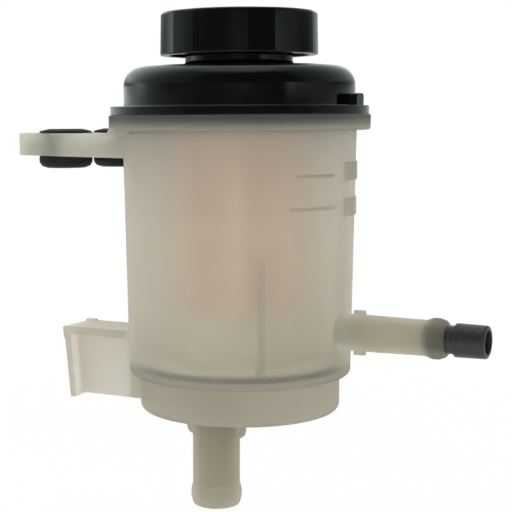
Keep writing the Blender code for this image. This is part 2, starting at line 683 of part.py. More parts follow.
def make_cap(finish):
    """The screw cap: gripping shell, threaded skirt, ribs between them and a vent recess."""
    bottom = JOINT + CAP_BOTTOM
    top = JOINT + CAP_TOP
    loops = [cap_loop(CAP_BOTTOM_RADIUS, bottom), cap_loop(CAP_TOP_RADIUS, top - CAP_EDGE_RADIUS)]
    for angle in (45, 90):
        turn = math.radians(angle)
        radius = CAP_TOP_RADIUS - CAP_EDGE_RADIUS * (1 - math.cos(turn))
        loops.append(cap_loop(radius, top - CAP_EDGE_RADIUS * (1 - math.sin(turn))))
    loops.append(cap_loop(CAP_TOP_RADIUS / 2, top + CAP_CROWN))
    cap = stacked("filler_cap", loops, finish)
    flat_depth = CAP_TOP_RADIUS * math.cos(CAP_FLAT_ANGLE / 2)
    shell = flat_depth - CAP_SHELL
    skirt = CAP_SKIRT_BORE + CAP_SKIRT_WALL
    groove = top - CAP_GROOVE_TOP
    hollow = [(0.0, bottom - BURY), (shell, bottom - BURY), (shell, groove), (skirt, groove),
              (skirt, bottom + CAP_SKIRT_RISE), (CAP_SKIRT_BORE, bottom + CAP_SKIRT_RISE),
              (CAP_SKIRT_BORE, cap_ceiling()), (0.0, cap_ceiling())]
    cut(cap, turned("cut_cap_hollow", hollow, BIG_STEPS))
    recess = [(0.0, cap_ceiling() - BURY), (VENT_RECESS_RADIUS, cap_ceiling() - BURY),
              (VENT_RECESS_RADIUS, cap_ceiling() + VENT_BULB_HEIGHT + GAP),
              (0.0, cap_ceiling() + VENT_BULB_HEIGHT + GAP)]
    cut(cap, turned("cut_vent_recess", recess, SMALL_STEPS))
    for number in range(CAP_LOBES):
        rib = block(f"add_cap_rib_{number + 1}",
                    (CAP_SKIRT_BORE + CAP_SKIRT_WALL / 2, -CAP_RIB_THICKNESS / 2, bottom + CAP_SKIRT_RISE / 2),
                    (shell + CAP_SHELL / 2, CAP_RIB_THICKNESS / 2, groove + BURY))
        rib.rotation_euler = (0.0, 0.0, CAP_FLAT_CENTRE + math.pi * (2 * number + 1) / CAP_LOBES)
        add(cap, rib)
    return cap


def make_cap_inside(rubber, black):
    """The cap's seal, its vent plate and the rubber vent valve."""
    seat = JOINT + NECK_TOP + GAP
    inner = NECK_RADIUS - NECK_WALL + GAP
    outer = NECK_RADIUS + SEAL_OVERHANG
    turned("cap_seal", [(inner, seat), (outer, seat), (outer, seat + SEAL_THICKNESS),
                        (inner, seat + SEAL_THICKNESS)], BIG_STEPS, rubber)
    low = seat + SEAL_THICKNESS + GAP
    high = low + VENT_PLATE_THICKNESS
    hole = VENT_STEM_RADIUS + GAP
    plate = turned("cap_vent_plate", [(hole, low), (outer, low), (outer, high), (hole, high)], SMALL_STEPS, black)
    for number in range(VENT_HOLE_COUNT):
        angle = 2 * math.pi * (number + 0.5) / VENT_HOLE_COUNT
        drill = turned(f"cut_vent_hole_{number + 1}", [(0.0, low - BURY), (VENT_HOLE_RADIUS, low - BURY),
                                                      (VENT_HOLE_RADIUS, high + BURY), (0.0, high + BURY)],
                       HOLE_STEPS)
        drill.location = (VENT_HOLE_CIRCLE * math.cos(angle), VENT_HOLE_CIRCLE * math.sin(angle), 0.0)
        cut(plate, drill)
    under = low - GAP
    bulb = high + GAP
    outline = [(0.0, under - VENT_UMBRELLA_THICKNESS / 2),
               (VENT_UMBRELLA_RADIUS / 2, under - VENT_UMBRELLA_THICKNESS),
               (VENT_UMBRELLA_RADIUS, under - VENT_UMBRELLA_THICKNESS / 2),
               (VENT_UMBRELLA_RADIUS, under), (VENT_STEM_RADIUS, under),
               (VENT_STEM_RADIUS, bulb), (VENT_BULB_RADIUS, bulb),
               (VENT_STEM_RADIUS, bulb + VENT_BULB_HEIGHT), (0.0, bulb + VENT_BULB_HEIGHT)]
    turned("cap_vent_valve", outline, SMALL_STEPS, rubber)


def make_filter(milky, warm, paper, rubber, steel):
    """The filter: seal, base, cage, pleated element, end disc and hold-down spring."""
    seal_low = LEDGE + GAP
    seal_high = seal_low + FILTER_SEAL_THICKNESS
    wall = CHAMBER_BOTTOM_RADIUS - TANK_WALL - FILTER_BASE_CLEARANCE
    ledge_inner = SUMP_RADIUS - TANK_WALL + FILTER_BASE_CLEARANCE
    turned("filter_seal", [(ledge_inner, seal_low), (wall, seal_low), (wall, seal_high),
                           (ledge_inner, seal_high)], SMALL_STEPS, rubber)
    low = seal_high + GAP
    high = low + FILTER_BASE_THICKNESS
    seat = high + FILTER_STAND_HEIGHT
    collar = FILTER_CAGE_RADIUS + GAP
    stand = collar + FILTER_COLLAR_WALL
    base = turned("filter_base", [(stand - FILTER_STAND_WALL, low), (wall, low), (wall, high), (stand, high),
                                  (stand, seat + FILTER_COLLAR_HEIGHT), (collar, seat + FILTER_COLLAR_HEIGHT),
                                  (collar, seat), (FILTER_OUTLET_RADIUS, seat),
                                  (FILTER_OUTLET_RADIUS, seat - FILTER_BASE_THICKNESS),
                                  (stand - FILTER_STAND_WALL, seat - FILTER_BASE_THICKNESS)],
                  SMALL_STEPS, milky)
    notch_inner = wall_radius(high) - TANK_WALL - GUIDE_DEPTH - 2 * GAP
    for number, angle in enumerate(guide_angles()):
        notch = block(f"cut_base_notch_{number + 1}", (notch_inner, -GUIDE_THICKNESS / 2 - GAP, low - BURY),
                      (wall + BURY, GUIDE_THICKNESS / 2 + GAP, high + BURY))
        notch.rotation_euler = (0.0, 0.0, angle)
        cut(base, notch)
    cage_low = seat + GAP
    cage_high = cage_low + FILTER_CAGE_HEIGHT
    inner = FILTER_CAGE_RADIUS - FILTER_CAGE_WALL
    cage = turned("filter_cage", [(inner, cage_low), (FILTER_CAGE_RADIUS, cage_low),
                                  (FILTER_CAGE_RADIUS, cage_high), (inner, cage_high)],
                  FILTER_WINDOWS * FILTER_WINDOW_STEPS, warm)
    row_height = (FILTER_CAGE_HEIGHT - FILTER_BAND) / FILTER_WINDOW_ROWS
    width = 2 * math.pi * inner / FILTER_WINDOWS * FILTER_WINDOW_SHARE
    for row in range(FILTER_WINDOW_ROWS):
        bottom = cage_low + FILTER_BAND + row * row_height
        for number in range(FILTER_WINDOWS):
            window = block(f"cut_window_{row + 1}_{number + 1}", (inner - BURY, -width / 2, bottom),
                           (FILTER_CAGE_RADIUS + BURY, width / 2, bottom + row_height - FILTER_BAND))
            window.rotation_euler = (0.0, 0.0, 2 * math.pi * number / FILTER_WINDOWS)
            cut(cage, window)
    make_pleats(inner - GAP, cage_low + GAP, cage_high - GAP, paper)
    disc_low = cage_high + GAP
    disc_high = disc_low + FILTER_DISC_THICKNESS
    turned("filter_end_disc", [(PORT_RADIUS, disc_low), (FILTER_CAGE_RADIUS, disc_low),
                               (FILTER_CAGE_RADIUS, disc_high), (PORT_RADIUS, disc_high)], SMALL_STEPS, warm)
    make_spring("filter_spring", HOLD_SPRING_RADIUS, HOLD_SPRING_WIRE, disc_high + GAP,
                JOINT + DOME_CROWN - LID_WALL - GAP, HOLD_SPRING_TURNS, steel)
    return disc_low


def make_pleats(outer, bottom, top, finish):
    """The filter element: one folded sheet in a star, open in the middle."""
    geometry = bmesh.new()
    inner = outer - PLEAT_DEPTH
    rings = []
    for height in (bottom, top):
        outside = []
        inside = []
        for fold in range(PLEAT_COUNT * 2):
            angle = math.pi * fold / PLEAT_COUNT
            radius = outer if fold % 2 == 0 else inner + PLEAT_PAPER
            outside.append(geometry.verts.new((radius * math.cos(angle), radius * math.sin(angle), height)))
            shrink = radius - (PLEAT_FOLD_PAPER if fold % 2 == 0 else PLEAT_PAPER)
            inside.append(geometry.verts.new((shrink * math.cos(angle), shrink * math.sin(angle), height)))
        rings.append((outside, inside))
    (outside_low, inside_low), (outside_high, inside_high) = rings
    ring_faces(geometry, outside_low, outside_high)
    ring_faces(geometry, inside_high, inside_low)
    ring_faces(geometry, inside_low, outside_low)
    ring_faces(geometry, outside_high, inside_high)
    return object_from("filter_element", geometry, finish)


def make_spring(name, radius, wire, bottom, top, turns, finish):
    """A coil spring of round wire between two heights."""
    geometry = bmesh.new()
    count = int(COIL_STEPS * turns)
    rings = []
    for step in range(count + 1):
        angle = 2 * math.pi * step / COIL_STEPS
        level = bottom + wire / 2 + (top - bottom - wire) * step / count
        ring = []
        for side in range(COIL_SIDES):
            turn = 2 * math.pi * side / COIL_SIDES
            reach = radius + wire / 2 * math.cos(turn)
            ring.append(geometry.verts.new((reach * math.cos(angle), reach * math.sin(angle),
                                            level + wire / 2 * math.sin(turn))))
        rings.append(ring)
    for lower, upper in zip(rings, rings[1:]):
        ring_faces(geometry, lower, upper)
    geometry.faces.new(list(reversed(rings[0])))
    geometry.faces.new(rings[-1])
    return object_from(name, geometry, finish)


def make_bypass(disc_low, warm, steel):
    """The bypass valve under the end disc: poppet, spring and the retainer that holds them."""
    high = disc_low - GAP
    low = high - VALVE_THICKNESS
    spring_low = low - GAP - SPRING_HEIGHT
    floor_high = spring_low - GAP
    floor_low = floor_high - RETAINER_FLOOR
    stem_end = floor_high - RETAINER_FLOOR / 2
    turned("bypass_valve", [(0.0, stem_end), (VALVE_STEM_RADIUS, stem_end), (VALVE_STEM_RADIUS, low),
                            (VALVE_RADIUS, low), (VALVE_RADIUS, high), (0.0, high)], SMALL_STEPS, warm)
    make_spring("bypass_spring", SPRING_RADIUS, SPRING_WIRE, spring_low, low - GAP, SPRING_TURNS, steel)
    guide = VALVE_STEM_RADIUS + GAP
    inner = RETAINER_RADIUS - RETAINER_WALL
    retainer = turned("bypass_retainer", [(guide, floor_low), (RETAINER_RADIUS, floor_low),
                                          (RETAINER_RADIUS, high), (inner, high),
                                          (inner, floor_high), (guide, floor_high)], SMALL_STEPS, warm)
    for number in range(RETAINER_WINDOWS):
        window = block(f"cut_retainer_window_{number + 1}",
                       (inner - 2 * BURY, -RETAINER_WINDOW_WIDTH / 2, floor_high + BURY),
                       (RETAINER_RADIUS + BURY, RETAINER_WINDOW_WIDTH / 2, high - BURY))
        window.rotation_euler = (0.0, 0.0, 2 * math.pi * number / RETAINER_WINDOWS)
        cut(retainer, window)


def make_grommets(rubber, steel):
    """The two rubber grommets in the arm, each with a steel sleeve."""
    arm_bottom = ARM_TOP - ARM_THICKNESS
    top = ARM_TOP + GAP + GROMMET_TOP_FLANGE
    bottom = arm_bottom - GAP - GROMMET_BOTTOM_FLANGE
    bore = SLEEVE_RADIUS + GAP
    outline = [(bore, bottom), (GROMMET_FLANGE_RADIUS - GROMMET_BOTTOM_ROUND, bottom)]
    lower = (GROMMET_FLANGE_RADIUS - GROMMET_BOTTOM_ROUND, bottom + GROMMET_BOTTOM_ROUND)
    outline += arc(lower, GROMMET_BOTTOM_ROUND, -90, 0, 4)[1:]
    outline += [(GROMMET_FLANGE_RADIUS, arm_bottom - GAP), (GROMMET_WAIST_RADIUS, arm_bottom - GAP)]
    outline += [(GROMMET_WAIST_RADIUS, ARM_TOP + GAP), (GROMMET_FLANGE_RADIUS, ARM_TOP + GAP)]
    outline += arc((GROMMET_FLANGE_RADIUS - GROMMET_TOP_ROUND, top - GROMMET_TOP_ROUND), GROMMET_TOP_ROUND, 0, 90, 3)
    outline.append((bore, top))
    for name, place in zip(GROMMET_NAMES, grommet_places()):
        grommet = turned("arm_grommet_" + name, outline, SMALL_STEPS, rubber)
        grommet.location = (place.x, place.y, 0.0)
        sleeve = turned("grommet_sleeve_" + name, [(SLEEVE_BORE, bottom), (SLEEVE_RADIUS, bottom),
                                                   (SLEEVE_RADIUS, top), (SLEEVE_BORE, top)],
                        SMALL_STEPS, steel)
        sleeve.location = (place.x, place.y, 0.0)


def make_nozzle(finish):
    """The black return nozzle, turned about the tube axis, with an open socket at its tip."""
    spigot = TUBE_BORE - GAP
    start = TUBE_END - NOZZLE_SPIGOT_LENGTH
    shoulder = TUBE_END + GAP
    head = shoulder + NOZZLE_NECK_LENGTH
    tip = head + NOZZLE_HEAD_LENGTH
    socket = NOZZLE_TIP_RADIUS - NOZZLE_CHAMFER - NOZZLE_LIP
    outline = [(NOZZLE_BORE, start), (spigot, start), (spigot, shoulder), (NOZZLE_NECK_RADIUS, shoulder)]
    outline += [(NOZZLE_NECK_RADIUS, head), (NOZZLE_HEAD_RADIUS - NOZZLE_CHAMFER, head)]
    outline += [(NOZZLE_HEAD_RADIUS, head + NOZZLE_CHAMFER), (NOZZLE_TIP_RADIUS, tip - NOZZLE_CHAMFER)]
    outline += [(NOZZLE_TIP_RADIUS - NOZZLE_CHAMFER, tip), (socket, tip)]
    outline += [(socket, tip - NOZZLE_SOCKET_DEPTH), (NOZZLE_BORE, tip - NOZZLE_SOCKET_DEPTH - NOZZLE_LIP)]
    nozzle = turned("return_nozzle", outline, SMALL_STEPS, finish)
    lay_along_x(nozzle, TUBE_HEIGHT)


def main():
    clear_scene()
    milky = plastic("milky_plastic", (0.44, 0.40, 0.33), 0.45)
    gloss = plastic("gloss_black_plastic", (0.012, 0.013, 0.015), 0.22)
    black = plastic("black_plastic", (0.025, 0.026, 0.028), 0.5)
    rubber = plastic("black_rubber", (0.015, 0.015, 0.016), 0.8)
    warm = plastic("warm_plastic", (0.62, 0.34, 0.24), 0.6)
    paper = plastic("filter_paper", (0.60, 0.38, 0.26), 0.9)
    steel = plastic("sleeve_steel", (0.55, 0.55, 0.56), 0.35, 1.0)
    make_tank(milky)
    make_lid(gloss)
    make_cap(gloss)
    make_cap_inside(rubber, black)
    disc_low = make_filter(milky, warm, paper, rubber, steel)
    make_bypass(disc_low, warm, steel)
    make_grommets(rubber, steel)
    make_nozzle(black)


main()
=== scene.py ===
import math

import bmesh
import bpy
from mathutils import Matrix, Vector


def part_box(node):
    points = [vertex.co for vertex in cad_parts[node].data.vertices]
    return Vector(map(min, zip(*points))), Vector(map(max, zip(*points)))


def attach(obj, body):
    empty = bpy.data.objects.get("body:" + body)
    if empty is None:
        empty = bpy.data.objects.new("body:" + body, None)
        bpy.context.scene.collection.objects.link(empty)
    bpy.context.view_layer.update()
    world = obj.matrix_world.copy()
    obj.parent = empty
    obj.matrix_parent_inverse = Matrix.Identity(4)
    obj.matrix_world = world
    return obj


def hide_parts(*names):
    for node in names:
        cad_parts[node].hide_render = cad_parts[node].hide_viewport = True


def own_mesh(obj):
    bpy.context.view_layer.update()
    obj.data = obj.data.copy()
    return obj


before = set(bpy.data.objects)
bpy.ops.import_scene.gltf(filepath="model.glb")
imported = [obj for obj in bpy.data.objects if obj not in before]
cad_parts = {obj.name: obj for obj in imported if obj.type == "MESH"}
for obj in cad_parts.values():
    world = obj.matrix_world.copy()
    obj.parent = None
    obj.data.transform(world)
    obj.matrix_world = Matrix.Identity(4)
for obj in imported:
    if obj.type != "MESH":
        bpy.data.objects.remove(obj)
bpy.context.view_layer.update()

# The tank is one injection moulding in milky, slightly see-through plastic. Wall, rim, sump, hose stubs,
# arm and foot come out of one tool, so every edge is softly rounded and the parting line shows on the wall.
mm = 0.001
wall_thickness = 2.4 * mm
sump_floor = 40.3 * mm
step_height = 54.5 * mm
rim_bottom = 147.8 * mm
joint_height = 153.6 * mm
rim_radius = 49.85 * mm
sump_radius = 38.6 * mm
wall_radius_low = 42.75 * mm
wall_radius_high = 44.6 * mm


def rounded(corners, steps=6):
    """Round the corners of an outline; each corner is (x, y) or (x, y, radius)."""
    points = []
    count = len(corners)
    for number, corner in enumerate(corners):
        here = Vector(corner[:2])
        radius = corner[2] if len(corner) > 2 else 0.0
        before = Vector(corners[number - 1][:2]) - here
        after = Vector(corners[(number + 1) % count][:2]) - here
        if radius <= 0.0:
            points.append(tuple(here))
            continue
        before_way, after_way = before.normalized(), after.normalized()
        half = before_way.angle(after_way) / 2
        reach = min(radius / math.tan(half), before.length * 0.49, after.length * 0.49)
        radius = reach * math.tan(half)
        centre = here + (before_way + after_way).normalized() * (radius / math.sin(half))
        first = here + before_way * reach - centre
        last = here + after_way * reach - centre
        turn = math.atan2(first.x * last.y - first.y * last.x, first.dot(last))
        for step in range(steps + 1):
            angle = turn * step / steps
            cosine, sine = math.cos(angle), math.sin(angle)
            points.append((centre.x + first.x * cosine - first.y * sine,
                           centre.y + first.x * sine + first.y * cosine))
    return points


def piece_from(name, shape, sharp=32):
    """Make a smooth-shaded object from a bmesh, with hard edges where it bends by more than sharp degrees."""
    bmesh.ops.recalc_face_normals(shape, faces=shape.faces)
    mesh = bpy.data.meshes.new(name)
    shape.to_mesh(mesh)
    shape.free()
    mesh.shade_smooth()
    mesh.set_sharp_from_angle(angle=math.radians(sharp))
    piece = bpy.data.objects.new(name, mesh)
    bpy.context.scene.collection.objects.link(piece)
    return piece


def skin(shape, loops, closed):
    """Join loops of equal length with faces, from each loop to the next."""
    rings = [[shape.verts.new(point) for point in loop] for loop in loops]
    following = rings[1:] + rings[:1] if closed else rings[1:]
    for low, high in zip(rings, following):
        for number in range(len(low)):
            after = (number + 1) % len(low)
            shape.faces.new((low[number], low[after], high[after], high[number]))
    if not closed:
        shape.faces.new(list(reversed(rings[0])))
        shape.faces.new(rings[-1])


def turned(name, outline, segments, phase=0.5):
    """Turn an outline of (radius, height) about Z. One that starts and ends on the axis becomes a solid."""
    shape = bmesh.new()
    tiny = 1e-7
    solid = outline[0][0] < tiny
    if solid:
        outline = [point for point in outline if point[0] >= tiny]
    loops = []
    for radius, height in outline:
        loop = []
        for number in range(segments):
            angle = 2 * math.pi * (number + phase) / segments
            loop.append((radius * math.cos(angle), radius * math.sin(angle), height))
        loops.append(loop)
    skin(shape, loops, not solid)
    return piece_from(name, shape)


tank = turned("tank", rounded([
    (0, sump_floor),
    (sump_radius, sump_floor, 2.8 * mm),
    (sump_radius, step_height, 0.8 * mm),
    (wall_radius_low, step_height, 3.0 * mm),
    (wall_radius_high, rim_bottom, 0.5 * mm),
    (rim_radius, rim_bottom, 1.2 * mm),
    (rim_radius, joint_height, 0.4 * mm),
    (0, joint_height),
]), segments=160)

# Suction nipple: a plain stub moulded under the sump, for the suction hose. It has a soft bead close to its
# end, which keeps the hose on, and two fins that tie it to the sump.
nipple_x = -10.3 * mm
nipple_radius = 9.3 * mm
nipple_root_radius = nipple_radius + 0.9 * mm
nipple_bead_radius = 10.0 * mm
nipple_bead_low = 3.6 * mm
nipple_bead_high = 6.2 * mm
fin_reach = 12.6 * mm
fin_bottom = sump_floor - 12.8 * mm
fin_half = 1.1 * mm
# How far a shape runs into the one that it is joined to, or past the one that it is cut from
lap = 1 * mm


def slab(name, outline, low, high, edge=0.0):
    """Extrude an outline of (x, y) between two heights and round its edges."""
    shape = bmesh.new()
    skin(shape, [[(x, y, height) for x, y in outline] for height in (low, high)], False)
    if edge:
        ends = [line for line in shape.edges if abs(line.verts[0].co.z - line.verts[1].co.z) < 1e-7]
        bmesh.ops.bevel(shape, geom=ends, offset=edge, segments=3, affect="EDGES", profile=0.5,
                        clamp_overlap=True)
    return piece_from(name, shape)


def stand_up(piece):
    """Turn a piece drawn in X and Y, with its thickness along Z, so that it is drawn in X and Z."""
    piece.data.transform(Matrix.Rotation(math.radians(90), 4, "X"))
    return piece


def placed(piece, *moves):
    """Move a piece's mesh itself, so that its object stays at the origin."""
    for move in moves:
        piece.data.transform(move)
    return piece


def shifted(x, y, z):
    return Matrix.Translation((x, y, z))


def worked(piece, tool, way):
    """Join a tool shape to a piece or cut it away, for good."""
    step = piece.modifiers.new("work", "BOOLEAN")
    step.operation = way
    step.solver = "EXACT"
    step.object = tool
    graph = bpy.context.evaluated_depsgraph_get()
    result = bpy.data.meshes.new_from_object(piece.evaluated_get(graph))
    piece.modifiers.clear()
    old = piece.data
    piece.data = result
    bpy.data.meshes.remove(old)
    spent = tool.data
    bpy.data.objects.remove(tool)
    bpy.data.meshes.remove(spent)


nipple = turned("nipple", rounded([
    (0, 0.6 * mm),
    (7.9 * mm, 0, 0.5 * mm),
    (9.2 * mm, 0.5 * mm, 1.2 * mm),
    (nipple_bead_radius, nipple_bead_low, 2.0 * mm),
    (nipple_bead_radius, nipple_bead_high, 2.6 * mm),
    (nipple_radius, 9.0 * mm, 3.0 * mm),
    (nipple_radius, sump_floor - 0.9 * mm, 0.8 * mm),
    (nipple_root_radius, sump_floor + 0.1 * mm),
    (nipple_root_radius, sump_floor + lap),
    (0, sump_floor + lap),
]), segments=72)
worked(tank, placed(nipple, shifted(nipple_x, 0, 0)), "UNION")
fins = stand_up(slab("nipple_fins", rounded([
    (fin_reach, sump_floor + lap),
    (-fin_reach, sump_floor + lap),
    (-fin_reach, fin_bottom, 2.8 * mm),
    (fin_reach, fin_bottom, 2.8 * mm),
]), -fin_half, fin_half, edge=0.35 * mm))
worked(tank, placed(fins, shifted(nipple_x, 0, 0)), "UNION")

# Return tube: moulded on the wall, it points along +X and takes the return hose, which the bead at its end
# keeps on. A stop fin above and one below end the hose's way.
tube_height = 73.0 * mm
tube_start = 41.6 * mm
tube_end = 83.1 * mm
tube_root_radius = 7.9 * mm
tube_bead_radius = 7.45 * mm
tube_bead_start = 78.0 * mm
tube_bead_end = 80.4 * mm
stop_start = 47.5 * mm
stop_end = 51.9 * mm
stop_half = 1.0 * mm
stop_reach = 8.35 * mm


def laid_along_x(height):
    """The move that lays a piece turned about Z along +X, at a height."""
    return shifted(0, 0, height) @ Matrix.Rotation(math.radians(90), 4, "Y")


def oblong(left, right, low, high, radii=(0, 0, 0, 0), steps=3):
    """A rectangle, with a radius for each corner, from the one at left and low round by right and low."""
    spots = ((left, low), (right, low), (right, high), (left, high))
    return rounded([(*spot, radius) for spot, radius in zip(spots, radii)], steps)


tube = turned("tube", rounded([
    (0, tube_start),
    (tube_root_radius, tube_start),
    (tube_root_radius, tube_start + 1.3 * mm),
    (6.9 * mm, 44.0 * mm, 1.0 * mm),
    (6.85 * mm, 52.0 * mm, 4.0 * mm),
    (6.55 * mm, 75.4 * mm, 2.4 * mm),
    (tube_bead_radius, tube_bead_start, 1.8 * mm),
    (tube_bead_radius, tube_bead_end, 1.6 * mm),
    (6.7 * mm, 82.4 * mm, 0.9 * mm),
    (5.9 * mm, tube_end, 0.5 * mm),
    (0, tube_end - 0.6 * mm),
]), segments=64)
worked(tank, placed(tube, laid_along_x(tube_height)), "UNION")
stop = slab("tube_stops", oblong(stop_start, stop_end, -stop_half, stop_half, (0.3 * mm,) * 4),
            tube_height - stop_reach, tube_height + stop_reach, edge=0.3 * mm)
worked(tank, stop, "UNION")

# Upper arm: moulded with the tank, it leaves the wall on a tangent, flat on top and cored from below, with
# a boss round each grommet. A brace under its root and a rounded ear at the rim stiffen it.
arm_angle = math.radians(158.5)
arm_top = 146.8 * mm
arm_bottom = 137.8 * mm
arm_front = -43.8 * mm
arm_back = 1.4 * mm
arm_root = 22.0 * mm
arm_length = 88.3 * mm
arm_skew = 9.8 * mm
arm_skin = 2.6 * mm
hole_radius = 7.9 * mm
boss_radius = hole_radius + 2.4 * mm
grommet_spots = [(68.5 * mm, -33.0 * mm), (63.4 * mm, -9.5 * mm)]
brace_start = 7.6 * mm
brace_end = 13.8 * mm
brace_front = arm_front + 0.5 * mm
brace_back = arm_front + 4.8 * mm
brace_drop = 3.3 * mm
ear_start = 13.5 * mm
ear_end = 22.0 * mm
ear_rise = 2.6 * mm
ear_half = 2.4 * mm


def wall_at(height):
    """The radius of the tapered wall at a height."""
    share = (height - step_height) / (rim_bottom - step_height)
    return wall_radius_low + (wall_radius_high - wall_radius_low) * share


def rod(name, radius, low, high, segments, phase=0.5):
    """A plain cylinder, for a bore or for what a cut leaves standing."""
    return turned(name, [(0, low), (radius, low), (radius, high), (0, high)], segments, phase)


def arm_place(along, across):
    """A place in plan, measured along and across the arm from the tank's axis."""
    return (math.cos(arm_angle) * along + math.sin(arm_angle) * across,
            math.sin(arm_angle) * along - math.cos(arm_angle) * across)


def arm_plan(inset, corner):
    """The arm's outline in plan, drawn in by an inset."""
    front = arm_front + inset
    back = arm_back - inset
    plan = rounded([
        (0, front),
        (arm_length - inset, front, corner),
        (arm_length - arm_skew - inset, back, corner),
        (arm_root, back),
        (0, -arm_root),
    ])
    return [arm_place(along, across) for along, across in plan]


arm = slab("arm", arm_plan(0.0, 2.0 * mm), arm_bottom, arm_top, edge=0.4 * mm)
pocket = slab("arm_pocket", arm_plan(arm_skin, 1.0 * mm), arm_bottom - lap, arm_top - arm_skin)
root = rod("pocket_root", wall_at(arm_top), arm_bottom - 2 * lap, arm_top, segments=96)
worked(pocket, root, "DIFFERENCE")
for along, across in grommet_spots:
    x, y = arm_place(along, across)
    boss = rod("boss", boss_radius, arm_bottom - 2 * lap, arm_top, segments=64)
    worked(pocket, placed(boss, shifted(x, y, 0)), "DIFFERENCE")
worked(arm, pocket, "DIFFERENCE")
worked(tank, arm, "UNION")
brace_plan = oblong(brace_start, brace_end, brace_front, brace_back, (0.5 * mm, 0.5 * mm, 0, 0))
brace = slab("arm_brace", [arm_place(along, across) for along, across in brace_plan],
             arm_bottom - brace_drop, arm_bottom + lap, edge=0.3 * mm)
worked(tank, brace, "UNION")
ear_outline = oblong(ear_start, ear_end, arm_top - lap, arm_top + ear_rise,
                     (0, 0, 2.4 * mm, 1.0 * mm), steps=6)
ear = stand_up(slab("arm_ear", ear_outline, -ear_half, ear_half, edge=0.5 * mm))
ear_x, ear_y = arm_place(0, arm_front - 0.3 * mm)
worked(tank, placed(ear, Matrix.Rotation(arm_angle, 4, "Z"), shifted(ear_x, ear_y, 0)), "UNION")

# Foot: a short bracket moulded low on the wall. A flat top flange and a thicker end flange stand round a
# thin web, which is set back from the front, and a small pad lies on top.
foot_top = 68.1 * mm
foot_bottom = 39.2 * mm
foot_half = 10.0 * mm
foot_root = 37.5 * mm
foot_reach_top = 75.7 * mm
foot_reach_bottom = 72.8 * mm
foot_flange = 2.9 * mm
foot_lip = 4.9 * mm
web_front = -foot_half + 3.6 * mm
web_thickness = 2.2 * mm
web_top = foot_top - 1.4 * mm
web_bottom = 40.6 * mm
pad_front = foot_half - 4.2 * mm
pad_back = foot_half - 0.5 * mm
pad_rise = 0.8 * mm
foot = stand_up(slab("foot", rounded([
    (-foot_root, foot_top),
    (-foot_root, foot_top - foot_flange),
    (-(foot_reach_top - foot_flange), foot_top - foot_flange, 0.6 * mm),
    (-(foot_reach_bottom - 2.6 * mm), foot_bottom, 0.4 * mm),
    (-(foot_reach_bottom - 0.5 * mm), foot_bottom, 0.4 * mm),
    (-(foot_reach_top - 0.99 * mm), foot_top - foot_lip, 0.2 * mm),
    (-(foot_reach_top - 0.49 * mm), foot_top - foot_lip, 0.2 * mm),
    (-foot_reach_top, foot_top, 0.5 * mm),
]), -foot_half, foot_half, edge=0.35 * mm))
worked(tank, foot, "UNION")
web = stand_up(slab("foot_web", [
    (-foot_root, web_top),
    (-foot_root, web_bottom),
    (-(foot_reach_bottom - 1.3 * mm), web_bottom),
    (-(foot_reach_top - 2.6 * mm), web_top),
], -web_front - web_thickness, -web_front))
worked(tank, web, "UNION")
pad = slab("foot_pad", oblong(-75.1 * mm, -71.0 * mm, pad_front, pad_back, (0.5 * mm,) * 4),
           foot_top - 0.6 * mm, foot_top + pad_rise, edge=0.2 * mm)
worked(tank, pad, "UNION")

# Inside of the tank: the mould's core leaves a floor, a shoulder above the step on which the filter stands,
# and three guide ribs round it. Bores open both hose stubs, and two holes in the arm take the grommets.
floor = sump_floor + wall_thickness
ledge = step_height + wall_thickness
guide_start = 62.3 * mm
guide_end = 101.8 * mm
guide_reach = 2.4 * mm
guide_half = 0.9 * mm
guide_degrees = -53
nipple_bore_radius = 7.0 * mm
tube_bore_radius = 4.4 * mm
tube_bore_start = 38 * mm


def settled(piece, sharp=32):
    """Shade a finished piece so that its flats stay flat and its rounds stay round."""
    piece.data.shade_smooth()
    piece.data.set_sharp_from_angle(angle=math.radians(sharp))
    weigh = piece.modifiers.new("flats", "WEIGHTED_NORMAL")
    weigh.keep_sharp = True


core = turned("core", rounded([
    (0, floor),
    (sump_radius - wall_thickness, floor, 1.6 * mm),
    (sump_radius - wall_thickness, ledge, 0.4 * mm),
    (wall_radius_low - wall_thickness, ledge, 0.6 * mm),
    (wall_radius_high - wall_thickness, rim_bottom),
    (wall_radius_high - wall_thickness, joint_height + lap),
    (0, joint_height + lap),
]), segments=160)
worked(tank, core, "DIFFERENCE")
for number in range(3):
    inner = wall_at(guide_start) - wall_thickness - guide_reach
    outer = wall_at(guide_start) - wall_thickness / 2
    guide = slab("guide", oblong(inner, outer, -guide_half, guide_half, (0.4 * mm, 0, 0, 0.4 * mm)),
                 guide_start, guide_end, edge=0.3 * mm)
    turn = Matrix.Rotation(math.radians(guide_degrees + 120 * number), 4, "Z")
    worked(tank, placed(guide, turn), "UNION")
bore = rod("nipple_bore", nipple_bore_radius, -lap, floor + lap, segments=72, phase=0.0)
worked(tank, placed(bore, shifted(nipple_x, 0, 0)), "DIFFERENCE")
bore = rod("tube_bore", tube_bore_radius, tube_bore_start, tube_end + lap, segments=64, phase=0.0)
worked(tank, placed(bore, laid_along_x(tube_height)), "DIFFERENCE")
for along, across in grommet_spots:
    x, y = arm_place(along, across)
    hole = rod("grommet_hole", hole_radius, arm_bottom - lap, arm_top + lap, segments=72, phase=0.25)
    worked(tank, placed(hole, shifted(x, y, 0)), "DIFFERENCE")
settled(tank)

